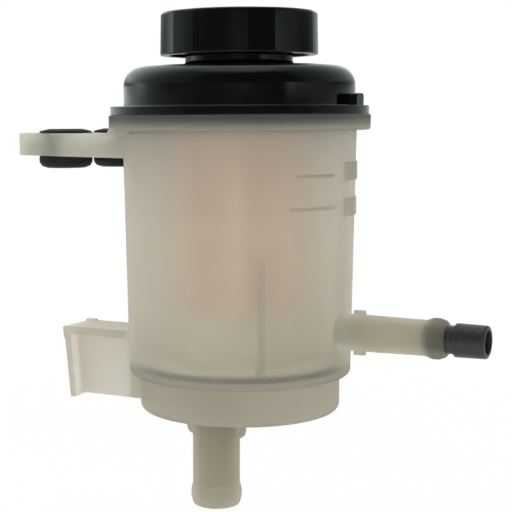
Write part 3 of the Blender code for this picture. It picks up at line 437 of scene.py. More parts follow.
# Finish of the tank: natural plastic with a fine grain outside and a clearer skin inside, so that the filter
# shines through. Painted shade darkens its colour on the sump, the tube, the step, the guide ribs and the
# foot's thick edges, and greys it where the black lid or nozzle stands behind it; painted light makes the
# foot lighter.
cream = (0.665, 0.655, 0.590)
pale = (0.735, 0.730, 0.670)
# Painted light and shade, mixed into the cream below: a dark shade, a lighter glow for the thin foot, a shade
# for the sump and tube, and greys where the black lid and nozzle stand behind the wall.
painted_shade_dark = (0.300, 0.275, 0.215)
foot_painted_light = (0.84, 0.79, 0.73)
sump_tube_painted_shade = (0.60, 0.56, 0.45)
rim_painted_shade = (0.10, 0.107, 0.10)
nozzle_painted_shade = (0.12, 0.115, 0.10)
inside_haze = (0.93, 0.91, 0.86), (0.96, 0.95, 0.91)
guide_edge = math.cos(3 * guide_half / wall_radius_low)
guide_edge_soft = math.cos(3 * (guide_half + 0.6 * mm) / wall_radius_low)
parting_direction = math.radians(-88.5)
parting_half = 0.006


class Signal:
    """A value in a node tree. Sums with it add the Math nodes that work them out."""

    def __init__(self, nodes, socket):
        self.nodes = nodes
        self.socket = socket

    def maths(self, operation, *terms):
        return self.nodes.node("ShaderNodeMath", {"operation": operation}, terms)

    def __add__(self, other):
        return self.maths("ADD", self, other)

    def __radd__(self, other):
        return self.maths("ADD", other, self)

    def __sub__(self, other):
        return self.maths("SUBTRACT", self, other)

    def __rsub__(self, other):
        return self.maths("SUBTRACT", other, self)

    def __mul__(self, other):
        return self.maths("MULTIPLY", self, other)

    def __rmul__(self, other):
        return self.maths("MULTIPLY", other, self)

    def __truediv__(self, other):
        return self.maths("DIVIDE", self, other)

    def __rtruediv__(self, other):
        return self.maths("DIVIDE", other, self)

    def __pow__(self, other):
        return self.maths("POWER", self, other)

    def __rpow__(self, other):
        return self.maths("POWER", other, self)

    def __abs__(self):
        return self.maths("ABSOLUTE", self)

    def between(self, low, high, start=0.0, end=1.0):
        """Read the value from low to high as a smooth share from start to end."""
        return self.nodes.node("ShaderNodeMapRange", {"interpolation_type": "SMOOTHSTEP"},
                               (self, low, high, start, end))


class Nodes:
    """A node tree that is built up from signals."""

    def __init__(self, tree):
        self.tree = tree

    def link(self, value, socket):
        """Feed a socket from a signal, or set it to a number, vector or colour."""
        if isinstance(value, Signal):
            self.tree.links.new(value.socket, socket)
        elif hasattr(socket.default_value, "__len__") and not hasattr(value, "__len__"):
            socket.default_value = [value] * len(socket.default_value)
        elif hasattr(value, "__len__") and len(value) == 3 and len(socket.default_value) == 4:
            socket.default_value = (*value, 1.0)
        else:
            socket.default_value = value

    def node(self, kind, settings=None, inputs=(), out=0):
        """Add any node: its settings first, then the values or signals of its sockets."""
        made = self.tree.nodes.new(kind)
        for key, value in (settings or {}).items():
            if key == "stops":
                ends = made.color_ramp.elements
                ends[0].color = (*value[0][1], 1.0)
                ends[-1].color = (*value[-1][1], 1.0)
                for place, colour in value[1:-1]:
                    ends.new(place).color = (*colour, 1.0)
            else:
                setattr(made, key, value)
        pairs = inputs.items() if isinstance(inputs, dict) else enumerate(inputs)
        for key, value in pairs:
            self.link(value, made.inputs[key])
        return Signal(self, made.outputs[out])

    def mixed(self, share, below, above):
        """Mix two colours by a share from 0 to 1."""
        return self.node("ShaderNodeMix", {"data_type": "RGBA"}, {0: share, 6: below, 7: above}, out=2)

    def larger(self, first, second):
        return self.node("ShaderNodeMath", {"operation": "MAXIMUM"}, (first, second))

    def direction(self, y, x):
        """The angle of a place round the origin, in radians."""
        return self.node("ShaderNodeMath", {"operation": "ARCTAN2"}, (y, x))

    def ray(self, kind):
        return self.node("ShaderNodeLightPath", out=f"Is {kind} Ray")


class Finish(Nodes):
    """One material, built up on its Principled shader."""

    def __init__(self, name, **settings):
        self.material = bpy.data.materials.new(name)
        self.material.use_nodes = True
        super().__init__(self.material.node_tree)
        self.shader = self.tree.nodes["Principled BSDF"]
        for socket, value in settings.items():
            self.set(socket.replace("_", " "), value)
        self.place = self.node("ShaderNodeTexCoord", out="Object")

    def set(self, socket, value):
        self.link(value, self.shader.inputs[socket])

    def blended(self, share, closure):
        """Mix another shader over the Principled one, by a share from 0 to 1."""
        own = Signal(self, self.shader.outputs[0])
        mix = self.node("ShaderNodeMixShader", {}, (share, own, closure))
        self.link(mix, self.tree.nodes["Material Output"].inputs[0])

    def noise(self, scale, detail=2.0, place=None, roughness=0.5):
        return self.node("ShaderNodeTexNoise", {}, {"Vector": place or self.place, "Scale": scale,
                                                    "Detail": detail, "Roughness": roughness})

    def stretched(self, x, y, z):
        """The place on the piece, stretched along the axes, for grain that runs one way."""
        return self.node("ShaderNodeVectorMath", {"operation": "MULTIPLY"}, (self.place, (x, y, z)))

    def bumped(self, height, distance, strength):
        self.set("Normal", self.node("ShaderNodeBump", {}, {"Strength": strength, "Distance": distance,
                                                            "Height": height}))

    def parts(self):
        """The place on the piece as three numbers."""
        return [self.node("ShaderNodeSeparateXYZ", {}, (self.place,), out=axis) for axis in "XYZ"]


def milky_plastic(name):
    """Natural plastic: a cloudy cream with faint flow marks, with painted shade on the sump, tube, step, ribs
    and foot edges and where black stands behind it, and painted light on the foot.
    """
    finish = Finish(name, Transmission_Weight=0.7, IOR=1.3, Specular_IOR_Level=0.4)
    x, y, height = finish.parts()
    reach = (x * x + y * y) ** 0.5
    around = finish.direction(y, x)
    on_wall = reach.between(wall_radius_high + 2.9 * mm, wall_radius_high + 0.9 * mm)
    cloud = finish.noise(22.0, 3.0).between(0.3, 0.7)
    flow = finish.noise(1.0, 3.0, finish.stretched(140.0, 140.0, 9.0)).between(0.35, 0.75)
    below_step = height.between(step_height + 2.5 * mm, step_height - 0.9 * mm)
    # Painted shade: a dark band along the step, under its rounded edge.
    step_painted_shade = height.between(step_height - 0.6 * mm, step_height + 0.7 * mm) \
        * height.between(step_height + 5.5 * mm, step_height + 2.0 * mm)
    # Painted shade: dark lines on the wall where the three guide ribs stand behind it.
    past_guide = (around - math.radians(guide_degrees)) * 3
    guides = finish.node("ShaderNodeMath", {"operation": "COSINE"}, (past_guide,))
    rib_painted_shade = guides.between(guide_edge_soft, guide_edge) * height.between(guide_start - 1 * mm, guide_start) \
        * height.between(guide_end + 0.5 * mm, guide_end - 0.5 * mm)
    # Painted shade: the rim turns grey where the black lid's skirt stands behind it.
    rim = height.between(rim_bottom - 0.2 * mm, joint_height - 0.7 * mm)
    on_foot = (x * -1).between(44.0 * mm, 47.0 * mm) \
        * height.between(foot_top + 2.9 * mm, foot_top + 1.4 * mm)
    # Painted shade: the foot's front and back edges are darkened, where the light crosses more plastic.
    foot_edge_painted_shade = abs(y).between(foot_half - 1.1 * mm, foot_half - 0.4 * mm)
    on_tube = x.between(45.0 * mm, 52.0 * mm)
    # Painted shade: the tube's end turns grey where the black nozzle stands inside it.
    backed = x.between(74.5 * mm, 79.0 * mm)
    colour = finish.mixed(cloud * 0.35 + flow * 0.15, cream, pale)
    # Painted light: the foot is coloured lighter, for the light that shines through its thin web.
    colour = finish.mixed(on_foot * 0.3, colour, foot_painted_light)
    colour = finish.mixed(on_foot * foot_edge_painted_shade * 0.45, colour, painted_shade_dark)
    # Painted shade: the sump below the step and the tube are darkened towards an amber grey.
    colour = finish.mixed(finish.larger(below_step * on_wall, on_tube) * 0.45, colour, sump_tube_painted_shade)
    colour = finish.mixed((below_step * 0.14 + step_painted_shade * 0.4 + rib_painted_shade * 0.16) * on_wall, colour, painted_shade_dark)
    colour = finish.mixed(rim * 0.80, colour, rim_painted_shade)
    colour = finish.mixed(backed * 0.6, colour, nozzle_painted_shade)
    finish.set("Base Color", colour)
    speck = finish.noise(900.0, 2.0)
    finish.set("Roughness", speck * 0.06 + cloud * 0.04 + 0.86)
    finish.blended(0.35, finish.node("ShaderNodeBsdfTranslucent", {}, (colour,)))
    seam = abs(around - parting_direction).between(parting_half, 0.0)
    grain = finish.noise(420.0, 3.0) * 0.6 + speck * 0.4 + seam * 1.4
    finish.bumped(grain, 0.05 * mm, 0.5)
    return finish.material


tank_finish = milky_plastic("milky_plastic")
inner_skin = Finish("milky_inside", Transmission_Weight=1.0, IOR=1.05, Specular_IOR_Level=0.3)
haze = inner_skin.noise(300.0, 2.0)
inner_skin.set("Base Color", inner_skin.mixed(haze, *inside_haze))
inner_skin.set("Roughness", haze * 0.1 + 0.3)
tank.data.materials.clear()
tank.data.materials.append(tank_finish)
tank.data.materials.append(inner_skin.material)
slack = 0.1 * mm
for face in tank.data.polygons:
    spot = face.center
    reach = math.hypot(spot.x, spot.y)
    inside = floor - slack < spot.z < joint_height + slack
    in_sump = reach < sump_radius - wall_thickness + 2 * slack and spot.z < ledge - slack
    along_wall = spot.z > ledge - 2 * slack and abs(reach - wall_at(spot.z) + wall_thickness) < 3 * slack
    if inside and (in_sump or along_wall):
        face.material_index = 1
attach(tank, "tank")
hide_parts("reservoir_body")

# Level marks: two thin lines and, beside them, two groups of short bars, for the fluid's lowest and highest
# level. They are moulded with the wall, in the same plastic, and stand a little proud of it.
line_rise = 0.08 * mm
line_tall = 1.3 * mm
bar_rise = 0.6 * mm
bar_tall = 7.0 * mm
bar_start = -2.4
bar_pitch = 3.7
bar_width = 2.3
bar_count = 8
mark_root = -0.4 * mm


def mark(name, start, end, height, tall, rise):
    """A raised patch that follows the wall between two directions, in degrees."""
    shape = bmesh.new()
    steps = max(2, int(abs(end - start) / 1.5))
    soft = min(0.25 * mm, tall / 3)
    loops = []
    for step in range(steps + 1):
        angle = math.radians(start + (end - start) * step / steps)
        top = rise if 0 < step < steps else rise * 0.55
        section = [(mark_root, -tall / 2), (top - soft * 0.8, -tall / 2), (top, -tall / 2 + soft),
                   (top, tall / 2 - soft), (top - soft * 0.8, tall / 2), (mark_root, tall / 2)]
        radius = wall_at(height)
        loops.append([((radius + out) * math.cos(angle), (radius + out) * math.sin(angle), height + up)
                      for out, up in section])
    skin(shape, loops, False)
    return piece_from(name, shape)


marks = [
    mark("level_line_low", -39.5, -11.9, 119.8 * mm, line_tall, line_rise),
    mark("level_line_high", -36.5, -12.6, 131.5 * mm, line_tall, line_rise),
]
for group, centre in (("low", 119.4 * mm), ("high", 132.6 * mm)):
    for number in range(bar_count):
        start = bar_start + number * bar_pitch
        name = f"level_bar_{group}_{number + 1}"
        marks.append(mark(name, start, start + bar_width, centre, bar_tall, bar_rise))
for piece in marks:
    piece.data.materials.append(tank_finish)
    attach(piece, "tank")

# Filter inside the tank: a salmon plastic basket holds the folded paper element. It only shows as a warm
# shape through the milky wall, so its parts keep plain moulded and paper finishes. The paper's colour is
# painted lighter than the basket's, a painted light that makes up for the shade it sits in behind the
# basket's bars.
salmon = (0.86, 0.59, 0.47), (0.90, 0.65, 0.53)
paper_painted_light = (0.97, 0.76, 0.65), (1.0, 0.82, 0.71)
buff = (0.60, 0.56, 0.48), (0.68, 0.64, 0.55)
spring_grey = (0.55, 0.55, 0.56), (0.68, 0.68, 0.69)


def dressed(finishes):
    """Give nodes that keep their own shape a finish each."""
    for node, material in finishes.items():
        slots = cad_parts[node].data.materials
        slots.clear()
        slots.append(material)


warm_plastic = Finish("warm_plastic", Roughness=0.6)
warm_plastic.set("Base Color", warm_plastic.mixed(warm_plastic.noise(60.0, 3.0), *salmon))
warm_plastic.bumped(warm_plastic.noise(700.0), 0.05 * mm, 0.4)
paper = Finish("filter_paper", Roughness=0.9)
fibre = paper.noise(1.0, 4.0, paper.stretched(900.0, 900.0, 160.0))
# Painted light: the paper is coloured lighter to offset its shade behind the cage.
paper.set("Base Color", paper.mixed(fibre.between(0.3, 0.7), *paper_painted_light))
paper.bumped(fibre, 0.1 * mm, 0.6)
pale_plastic = Finish("pale_plastic", Roughness=0.55)
pale_plastic.set("Base Color", pale_plastic.mixed(pale_plastic.noise(50.0, 3.0), *buff))
inner_steel = Finish("spring_steel", Metallic=1.0)
draw = inner_steel.noise(300.0, 3.0)
inner_steel.set("Base Color", inner_steel.mixed(draw, *spring_grey))
inner_steel.set("Roughness", draw * 0.2 + 0.25)
dressed({
    "filter_cage": warm_plastic.material,
    "filter_end_disc": warm_plastic.material,
    "filter_element": paper.material,
    "bypass_retainer": warm_plastic.material,
    "bypass_valve": warm_plastic.material,
    "filter_base": pale_plastic.material,
    "filter_spring": inner_steel.material,
})

# Bypass spring: a small coil of round steel wire that stands in its retainer and holds the bypass valve shut.
# In use it is pressed shorter as the valve opens; the coil here is built at one length.
coil_low, coil_high = [corner[2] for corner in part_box("bypass_spring")]
coil_radius = 5.4 * mm
wire_radius = 0.5 * mm
wire_sides = 12
coil_turns = 4.5
steps_a_turn = 32
loops = []
count = int(coil_turns * steps_a_turn)
for step in range(count + 1):
    angle = 2 * math.pi * step / steps_a_turn
    level = coil_low + wire_radius + (coil_high - coil_low - 2 * wire_radius) * step / count
    loop = []
    for number in range(wire_sides):
        turn = 2 * math.pi * number / wire_sides
        reach = coil_radius + wire_radius * math.cos(turn)
        loop.append((reach * math.cos(angle), reach * math.sin(angle), level + wire_radius * math.sin(turn)))
    loops.append(loop)
shape = bmesh.new()
skin(shape, loops, False)
coil = piece_from("bypass_coil", shape, sharp=60)
coil.data.materials.append(inner_steel.material)
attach(coil, "tank")
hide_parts("bypass_spring")
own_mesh(coil)

# Lid: a glossy black dome, welded to the rim, with a skirt that reaches down inside it. Its crown rises a
# little towards the filler neck, and one square index lug stands on the flange beside the return tube.
lid_low = joint_height + 0.06 * mm
lid_rim_top = joint_height + 3.4 * mm
lid_rim_radius = 49.3 * mm
lid_wall = 2.5 * mm
skirt_bottom = joint_height - 4.5 * mm
skirt_inner = 39.7 * mm
skirt_outer = 41.9 * mm
dome_radius = 44.1 * mm
crown = joint_height + 18.0 * mm
neck_top = joint_height + 32.0 * mm
neck_radius = 20.5 * mm
neck_bore_radius = 17.9 * mm
lug_left = -2.6 * mm
lug_right = 4.25 * mm
lug_inner = 43.5 * mm
lug_outer = 48.9 * mm
lug_rise = 4.2 * mm
polished_black = (0.0010, 0.0016, 0.0022), (0.0016, 0.0022, 0.0030)
lid = turned("lid", rounded([
    (skirt_inner, skirt_bottom, 0.4 * mm),
    (skirt_outer, skirt_bottom, 0.4 * mm),
    (skirt_outer, lid_low),
    (lid_rim_radius, lid_low, 0.3 * mm),
    (lid_rim_radius, lid_rim_top, 0.6 * mm),
    (dome_radius, lid_rim_top, 0.6 * mm),
    (dome_radius, crown, 8.0 * mm),
    (neck_radius, crown + 0.9 * mm, 1.6 * mm),
    (neck_radius, neck_top, 0.8 * mm),
    (neck_bore_radius, neck_top, 0.5 * mm),
    (neck_bore_radius, crown - lid_wall, 0.8 * mm),
    (dome_radius - lid_wall, crown - lid_wall, 5.5 * mm),
    (dome_radius - lid_wall, lid_rim_top, 1.0 * mm),
    (skirt_inner, lid_low + 0.3 * mm, 1.0 * mm),
], steps=10), segments=160)
lug_outline = oblong(lug_left, lug_right, lid_rim_top - lap, lid_rim_top + lug_rise,
                     (0, 0, 1.0 * mm, 1.0 * mm), steps=6)
lug = slab("lug", lug_outline, lug_inner, lug_outer, edge=0.3 * mm)
facing_x = Matrix(((0, 0, 1, 0), (1, 0, 0, 0), (0, 1, 0, 0), (0, 0, 0, 1)))
worked(lid, placed(lug, facing_x), "UNION")
settled(lid)


def gloss_black(name):
    """Polished black plastic with a faint ripple in its skin and a few dull rubbed places."""
    finish = Finish(name, IOR=1.5)
    rub = finish.noise(45.0, 4.0).between(0.45, 0.75)
    finish.set("Base Color", finish.mixed(rub, *polished_black))
    finish.set("Roughness", rub * 0.06 + finish.noise(900.0) * 0.04 + 0.08)
    finish.bumped(finish.noise(160.0, 2.0), 0.02 * mm, 0.35)
    return finish.material


lid.data.materials.clear()
lid.data.materials.append(gloss_black("gloss_black"))
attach(lid, "tank")
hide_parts("reservoir_lid")

# Screw cap: a glossy black moulding with round lobes and a flat between each two, so that it can be gripped.
# Ribs tie the outer shell to the threaded skirt, and their ends show just under the edge.
cap_low = joint_height + 22.5 * mm
cap_high = joint_height + 38.6 * mm
cap_radius_low = 30.0 * mm
cap_radius_high = 29.7 * mm
cap_wall = 2.6 * mm
cap_roof = 3.4 * mm
cap_edge = 1.2 * mm
cap_edge_steps = 6
cap_doming = 0.4 * mm
cap_skirt_inner = 22.3 * mm
cap_skirt_outer = 24.5 * mm
ceiling = neck_top + 3.8 * mm
lobes = 6
lobe_steps = 14
flat_turn = math.radians(20)
flat_centre = math.radians(-47.7)
flat_bulge = 0.2 * mm
flat_steps = 8
cap_rib_start = 23.4 * mm
cap_rib_half = 0.8 * mm
vent_radius = 4.2 * mm
vent_depth = 1.2 * mm


def cap_ring(inset, height):
    """One level of the cap's outside."""
    share = (height - cap_low) / (cap_high - cap_low)
    radius = cap_radius_low + (cap_radius_high - cap_radius_low) * share
    ring = []
    lobe_turn = 2 * math.pi / lobes - flat_turn
    for number in range(lobes):
        start = flat_centre + flat_turn / 2 + 2 * math.pi * number / lobes
        for step in range(lobe_steps + 1):
            angle = start + lobe_turn * step / lobe_steps
            ring.append(((radius - inset) * math.cos(angle), (radius - inset) * math.sin(angle), height))
        end = start + lobe_turn + flat_turn
        first = Vector(ring[-1])
        last = Vector(((radius - inset) * math.cos(end), (radius - inset) * math.sin(end), height))
        outward = ((first + last) / 2 - Vector((0, 0, height))).normalized()
        for step in range(1, flat_steps):
            share = step / flat_steps
            ring.append(tuple(first.lerp(last, share) + outward * flat_bulge * 4 * share * (1 - share)))
    return ring


loops = [
    cap_ring(0.5 * mm, cap_low),
    cap_ring(0.15 * mm, cap_low + 0.15 * mm),
    cap_ring(0, cap_low + 0.5 * mm),
]
for step in range(cap_edge_steps + 1):
    turn = math.radians(90 * step / cap_edge_steps)
    loops.append(cap_ring(cap_edge * (1 - math.cos(turn)), cap_high - cap_edge * (1 - math.sin(turn))))
for share in (0.25, 0.5, 0.75, 0.97):
    ring = [Vector(point) for point in cap_ring(cap_edge, cap_high)]
    rise = cap_doming * (1 - (1 - share) ** 2)
    loops.append([(point.x * (1 - share), point.y * (1 - share), cap_high + rise) for point in ring])
shape = bmesh.new()
skin(shape, loops, False)
cap = piece_from("cap", shape)
shell_radius = cap_radius_high * math.cos(flat_turn / 2) - cap_wall
hollow = turned("cap_hollow", rounded([
    (0, cap_low - lap),
    (shell_radius, cap_low - lap),
    (shell_radius, cap_high - cap_roof, 0.8 * mm),
    (cap_skirt_outer, cap_high - cap_roof, 0.8 * mm),
    (cap_skirt_outer, cap_low + 1.0 * mm, 0.4 * mm),
    (cap_skirt_inner, cap_low + 1.0 * mm, 0.4 * mm),
    (cap_skirt_inner, ceiling, 0.6 * mm),
    (0, ceiling),
]), segments=128)
worked(cap, hollow, "DIFFERENCE")
for number in range(lobes):
    rib = slab("cap_rib", oblong(cap_rib_start, shell_radius + 1.3 * mm, -cap_rib_half, cap_rib_half),
               cap_low + 0.5 * mm, cap_high - cap_roof + lap)
    turn = Matrix.Rotation(flat_centre + math.pi * (2 * number + 1) / lobes, 4, "Z")
    worked(cap, placed(rib, turn), "UNION")
worked(cap, rod("vent_recess", vent_radius, ceiling - lap, ceiling + vent_depth, segments=48), "DIFFERENCE")
settled(cap, sharp=24)
corners = [flat_centre + half_flat + 2 * math.pi * number / lobes
           for number in range(lobes) for half_flat in (-flat_turn / 2, flat_turn / 2)]
for line in cap.data.edges:
    ends = [cap.data.vertices[number].co for number in line.vertices]
    is_upright = abs(ends[0].z - ends[1].z) > 0.2 * mm
    on_shell = min(math.hypot(end.x, end.y) for end in ends) > cap_radius_high - 1.7 * mm
    angle = math.atan2(ends[0].y, ends[0].x)
    off_corner = min(abs(math.remainder(angle - corner, 2 * math.pi)) for corner in corners)
    if is_upright and on_shell and off_corner < math.radians(0.17):
        line.use_edge_sharp = True
cap.data.materials.clear()
cap.data.materials.append(gloss_black("cap_black"))
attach(cap, "cap")
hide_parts("filler_cap")

# Seals and vent: flat rubber rings under the cap and the filter, and the cap's breather, a black plastic
# plate with a rubber umbrella valve. They are pushed into place and keep the shape of the frame's solids.
rubber_black = (0.004, 0.004, 0.005), (0.014, 0.014, 0.016)
vent_grey = (0.015, 0.015, 0.016), (0.03, 0.03, 0.032)


def dull_rubber(name):
    """Black rubber with a fine grain and a little grey bloom."""
    finish = Finish(name, Specular_IOR_Level=0.35)
    bloom = finish.noise(70.0, 4.0).between(0.4, 0.8)
    grain = finish.noise(1100.0, 3.0)
    finish.set("Base Color", finish.mixed(bloom * 0.6 + grain * 0.2, *rubber_black))
    finish.set("Roughness", grain * 0.15 + 0.62)
    finish.bumped(grain, 0.06 * mm, 0.6)
    return finish.material


rubber = dull_rubber("black_rubber")
vent_black = Finish("vent_black")
vent_grain = vent_black.noise(600.0)
vent_black.set("Base Color", vent_black.mixed(vent_grain, *vent_grey))
vent_black.set("Roughness", vent_grain * 0.2 + 0.4)
vent_black.bumped(vent_grain, 0.04 * mm, 0.4)
dressed({
    "cap_seal": rubber,
    "cap_vent_valve": rubber,
    "filter_seal": rubber,
    "cap_vent_plate": vent_black.material,
})

# Grommets: soft black rubber bushes pushed through the arm, with a domed flange above and below it. Each
# stands round a turned steel sleeve, which takes the clamping force of its bolt.
grommet_low = arm_bottom - 4.7 * mm
grommet_high = arm_top + 1.7 * mm
grommet_gap = 0.1 * mm
grommet_flange_radius = 10.8 * mm
grommet_waist_radius = 7.7 * mm
grommet_bore_radius = 5.7 * mm
sleeve_radius = 5.4 * mm
sleeve_bore_radius = 4.2 * mm
bright_steel = (0.42, 0.42, 0.43), (0.62, 0.62, 0.63)
steel = Finish("sleeve_steel", Metallic=1.0)
brushing = steel.noise(1.0, 3.0, steel.stretched(60.0, 60.0, 2600.0))
steel.set("Base Color", steel.mixed(brushing, *bright_steel))
steel.set("Roughness", brushing * 0.2 + 0.28)
steel.bumped(brushing, 0.02 * mm, 0.5)
for word, (along, across) in zip(("front", "rear"), grommet_spots):
    x, y = arm_place(along, across)
    grommet = turned("grommet_" + word, rounded([
        (grommet_bore_radius, grommet_low, 0.3 * mm),
        (7.6 * mm, grommet_low - 0.3 * mm, 1.2 * mm),
        (9.9 * mm, grommet_low + 0.5 * mm, 2.0 * mm),
        (grommet_flange_radius, grommet_low + 2.2 * mm, 1.8 * mm),
        (grommet_flange_radius, arm_bottom - grommet_gap, 0.5 * mm),
        (grommet_waist_radius, arm_bottom - grommet_gap, 0.2 * mm),
        (grommet_waist_radius, arm_top + grommet_gap, 0.2 * mm),
        (grommet_flange_radius, arm_top + grommet_gap, 0.2 * mm),
        (10.5 * mm, arm_top + 0.8 * mm, 0.6 * mm),
        (8.6 * mm, arm_top + 1.3 * mm, 2.0 * mm),
        (6.6 * mm, grommet_high, 1.0 * mm),
        (grommet_bore_radius, grommet_high, 0.2 * mm),
    ]), segments=96)
    placed(grommet, shifted(x, y, 0))
    grommet.data.materials.append(rubber)
    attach(grommet, "tank")
    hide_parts("arm_grommet_" + word)
    sleeve = turned("sleeve_" + word, rounded([
        (sleeve_bore_radius, grommet_low, 0.3 * mm),
        (sleeve_radius, grommet_low, 0.2 * mm),
        (sleeve_radius, grommet_high, 0.2 * mm),
        (sleeve_bore_radius, grommet_high, 0.3 * mm),
    ], steps=3), segments=72)
    placed(sleeve, shifted(x, y, 0))
    sleeve.data.materials.append(steel.material)
    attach(sleeve, "tank")
    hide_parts("grommet_sleeve_" + word)

# Return nozzle: a black plastic moulding with a spark-eroded skin, pressed into the end of the tube. A
# collar stops it against the tube, and a wider barrel stands out beyond it.
nozzle_start = 74.1 * mm
nozzle_end = 97.9 * mm
nozzle_shoulder = 86.2 * mm
nozzle_spigot_radius = 4.1 * mm
nozzle_neck_radius = 5.15 * mm
nozzle_bore_radius = 3.2 * mm
nozzle_mouth_radius = 4.25 * mm
eroded_grey = (0.012, 0.013, 0.015), (0.034, 0.035, 0.039)
nozzle = turned("nozzle", rounded([
    (nozzle_bore_radius, nozzle_start, 0.2 * mm),
    (nozzle_spigot_radius, nozzle_start, 0.2 * mm),
    (nozzle_spigot_radius, tube_end + 0.1 * mm),
    (nozzle_neck_radius, tube_end + 0.1 * mm, 0.2 * mm),
    (nozzle_neck_radius, nozzle_shoulder, 0.3 * mm),
    (6.15 * mm, nozzle_shoulder, 0.7 * mm),
    (5.95 * mm, nozzle_end, 0.8 * mm),
    (nozzle_mouth_radius, nozzle_end, 0.3 * mm),
    (nozzle_mouth_radius, 90.9 * mm),
    (nozzle_bore_radius, 89.8 * mm),
]), segments=72)
placed(nozzle, laid_along_x(tube_height))
eroded = Finish("eroded_black", Specular_IOR_Level=0.5)
pits = eroded.noise(1500.0, 3.0, roughness=0.6)
eroded.set("Base Color", eroded.mixed(pits.between(0.35, 0.7), *eroded_grey))
eroded.set("Roughness", pits * 0.16 + 0.30)
eroded.bumped(pits, 0.06 * mm, 0.6)
nozzle.data.materials.append(eroded.material)
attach(nozzle, "tank")
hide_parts("return_nozzle")

# Camera: a long lens half a metre away, level with the rim and tilted down a little, as in the photograph.
# The photograph is cropped off the axis of its lens, which a small shift follows.
camera_side = math.radians(26.3)
camera_distance = 509.6 * mm
camera_height = 152.8 * mm
view_turn = math.radians(-2.617)
view_tilt = math.radians(5.973)
view_roll = math.radians(-0.383)
sensor_width = 36
photo_pixels = 512
lens_pixels = 1324.1
across_view = Vector((math.cos(camera_side), math.sin(camera_side), 0))
into_view = Vector((-math.sin(camera_side), math.cos(camera_side), 0))
upward = Vector((0, 0, 1))
bpy.context.scene.view_settings.view_transform = "Standard"
camera = bpy.data.objects.new("camera", bpy.data.cameras.new("camera"))
bpy.context.scene.collection.objects.link(camera)
bpy.context.scene.camera = camera
camera.data.sensor_width = sensor_width
camera.data.lens = lens_pixels * sensor_width / photo_pixels
camera.data.shift_x = 0.15
camera.data.clip_start, camera.data.clip_end = 0.01, 50
ahead = (across_view * math.sin(view_turn) + into_view * math.cos(view_turn)) * math.cos(view_tilt) \
    - upward * math.sin(view_tilt)
level = across_view * math.cos(view_turn) - into_view * math.sin(view_turn)
head = level.cross(ahead)
side = level * math.cos(view_roll) + head * math.sin(view_roll)
top = head * math.cos(view_roll) - level * math.sin(view_roll)
camera.matrix_world = Matrix.Translation(into_view * -camera_distance + upward * camera_height) @ Matrix((
    (side.x, top.x, -ahead.x, 0), (side.y, top.y, -ahead.y, 0), (side.z, top.z, -ahead.z, 0), (0, 0, 0, 1)))

# Studio floor: matt white, a little below the part. The camera sees it as pure white further out, and it
# keeps a faint shadow under the part.
ground_level = -0.02
ground_thickness = 0.01
ground_half = 6
ground_white = (0.9, 0.9, 0.9)
ground_plan = [(x * ground_half, y * ground_half) for x, y in ((-1, -1), (1, -1), (1, 1), (-1, 1))]
ground = slab("ground", ground_plan, ground_level - ground_thickness, ground_level)
ground_finish = Finish("ground_white", Roughness=0.9)
ground_finish.set("Base Color", ground_white)
x, y, height = ground_finish.parts()
far = ((x * x + y * y) ** 0.5).between(0.15, 0.6, 0.96, 1.0)
seen = ground_finish.larger(ground_finish.ray("Camera"), ground_finish.ray("Transmission"))
ground_finish.blended(seen * far, ground_finish.node("ShaderNodeEmission"))
ground.data.materials.append(ground_finish.material)

# Light tent: pale walls and roof round the part, open and dark on the camera's side, so that the black
# plastic mirrors bright walls at its sides. The camera itself sees plain white behind the part.
wall_tint = (0.90, 0.98, 1.0)
roof_white = (0.80, 0.84, 0.87)
background = (1.0, 1.0, 1.0)
world = bpy.data.worlds.new("studio")
bpy.context.scene.world = world
world.use_nodes = True
sky = Nodes(world.node_tree)
way = sky.node("ShaderNodeTexCoord", out="Generated")
sideways, towards, rise = [
    sky.node("ShaderNodeVectorMath", {"operation": "DOT_PRODUCT"}, (way, axis), out="Value")
    for axis in (across_view, -into_view, upward)
]
around = sky.direction(sideways, towards)


def horizon(*levels):
    """Grey walls round the piece: pairs of a direction in degrees, 0 towards the camera, and a brightness."""
    stops = [(turn / 360 + 0.5, tuple(level * share for share in wall_tint)) for turn, level in levels]
    return sky.node("ShaderNodeValToRGB", {"stops": stops}, (around / (2 * math.pi) + 0.5,))


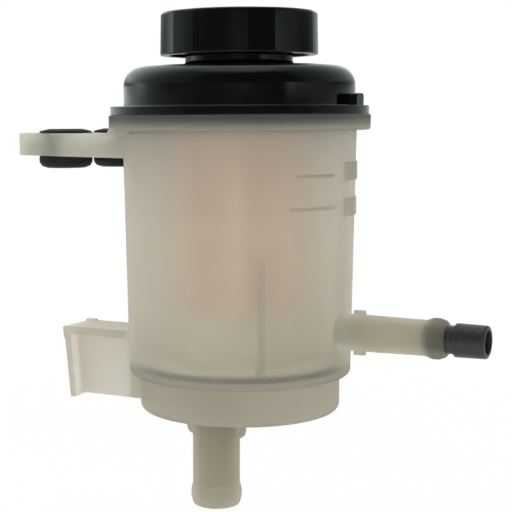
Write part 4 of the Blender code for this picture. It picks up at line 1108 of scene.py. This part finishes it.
low_walls = horizon(
    (-180, 1.0), (-136, 1.0), (-122, 0.78), (-98, 0.42), (-72, 0.25), (-55, 0.18), (-44, 0.08), (0, 0.04),
    (62, 0.05), (72, 0.18), (89, 0.24), (122, 0.42), (142, 0.55), (156, 0.65), (172, 1.0), (180, 1.0))
high_walls = horizon(
    (-180, 1.0), (-165, 0.3), (-140, 0.2), (-131, 0.35), (-124, 0.7), (-117, 1.3), (-110, 1.3), (-100, 0.55),
    (-90, 0.34), (-80, 0.13), (-68, 0.06), (-20, 0.09), (-6, 0.2), (8, 0.2), (17, 0.07), (43, 0.07),
    (50, 0.75), (60, 0.5), (71, 0.34), (94, 0.17), (103, 0.08), (118, 0.08), (149, 0.35), (172, 1.0),
    (180, 1.0))
walls = sky.mixed(rise.between(0.022, 0.040) * rise.between(0.22, 0.05), low_walls, high_walls)
tent = sky.mixed(rise.between(0.86, 1.0), walls, roof_white)
shown = sky.larger(sky.ray("Camera"), sky.ray("Transmission"))
sky.link(sky.mixed(shown, tent, background), sky.tree.nodes["Background"].inputs["Color"])

# Lamps: four soft boxes light the part evenly from both sides, from above and from the front. Each is a
# plain panel turned to the part's middle.
lamp_aim = upward * 0.1


def softbox(name, place, size, power):
    """A soft lamp that lights the piece but isn't mirrored in it, as the tent's walls already are."""
    lamp = bpy.data.lights.new(name, "AREA")
    lamp.shape = "RECTANGLE"
    lamp.size, lamp.size_y = size
    lamp.energy = power
    box = bpy.data.objects.new(name, lamp)
    bpy.context.scene.collection.objects.link(box)
    box.location = place
    box.rotation_euler = (lamp_aim - Vector(place)).to_track_quat("-Z", "Y").to_euler()
    box.visible_glossy = False


softbox("left_box", across_view * -0.75 - into_view * 0.25 + upward * 0.35, (0.35, 0.8), 2.4)
softbox("right_box", across_view * 0.85 - into_view * 0.15 + upward * 0.25, (0.25, 0.7), 1.8)
softbox("top_box", upward * 0.9 + into_view * 0.1, (0.7, 0.7), 3.0)
softbox("front_fill", into_view * -1.1 + upward * 0.3, (0.9, 0.9), 6.6)
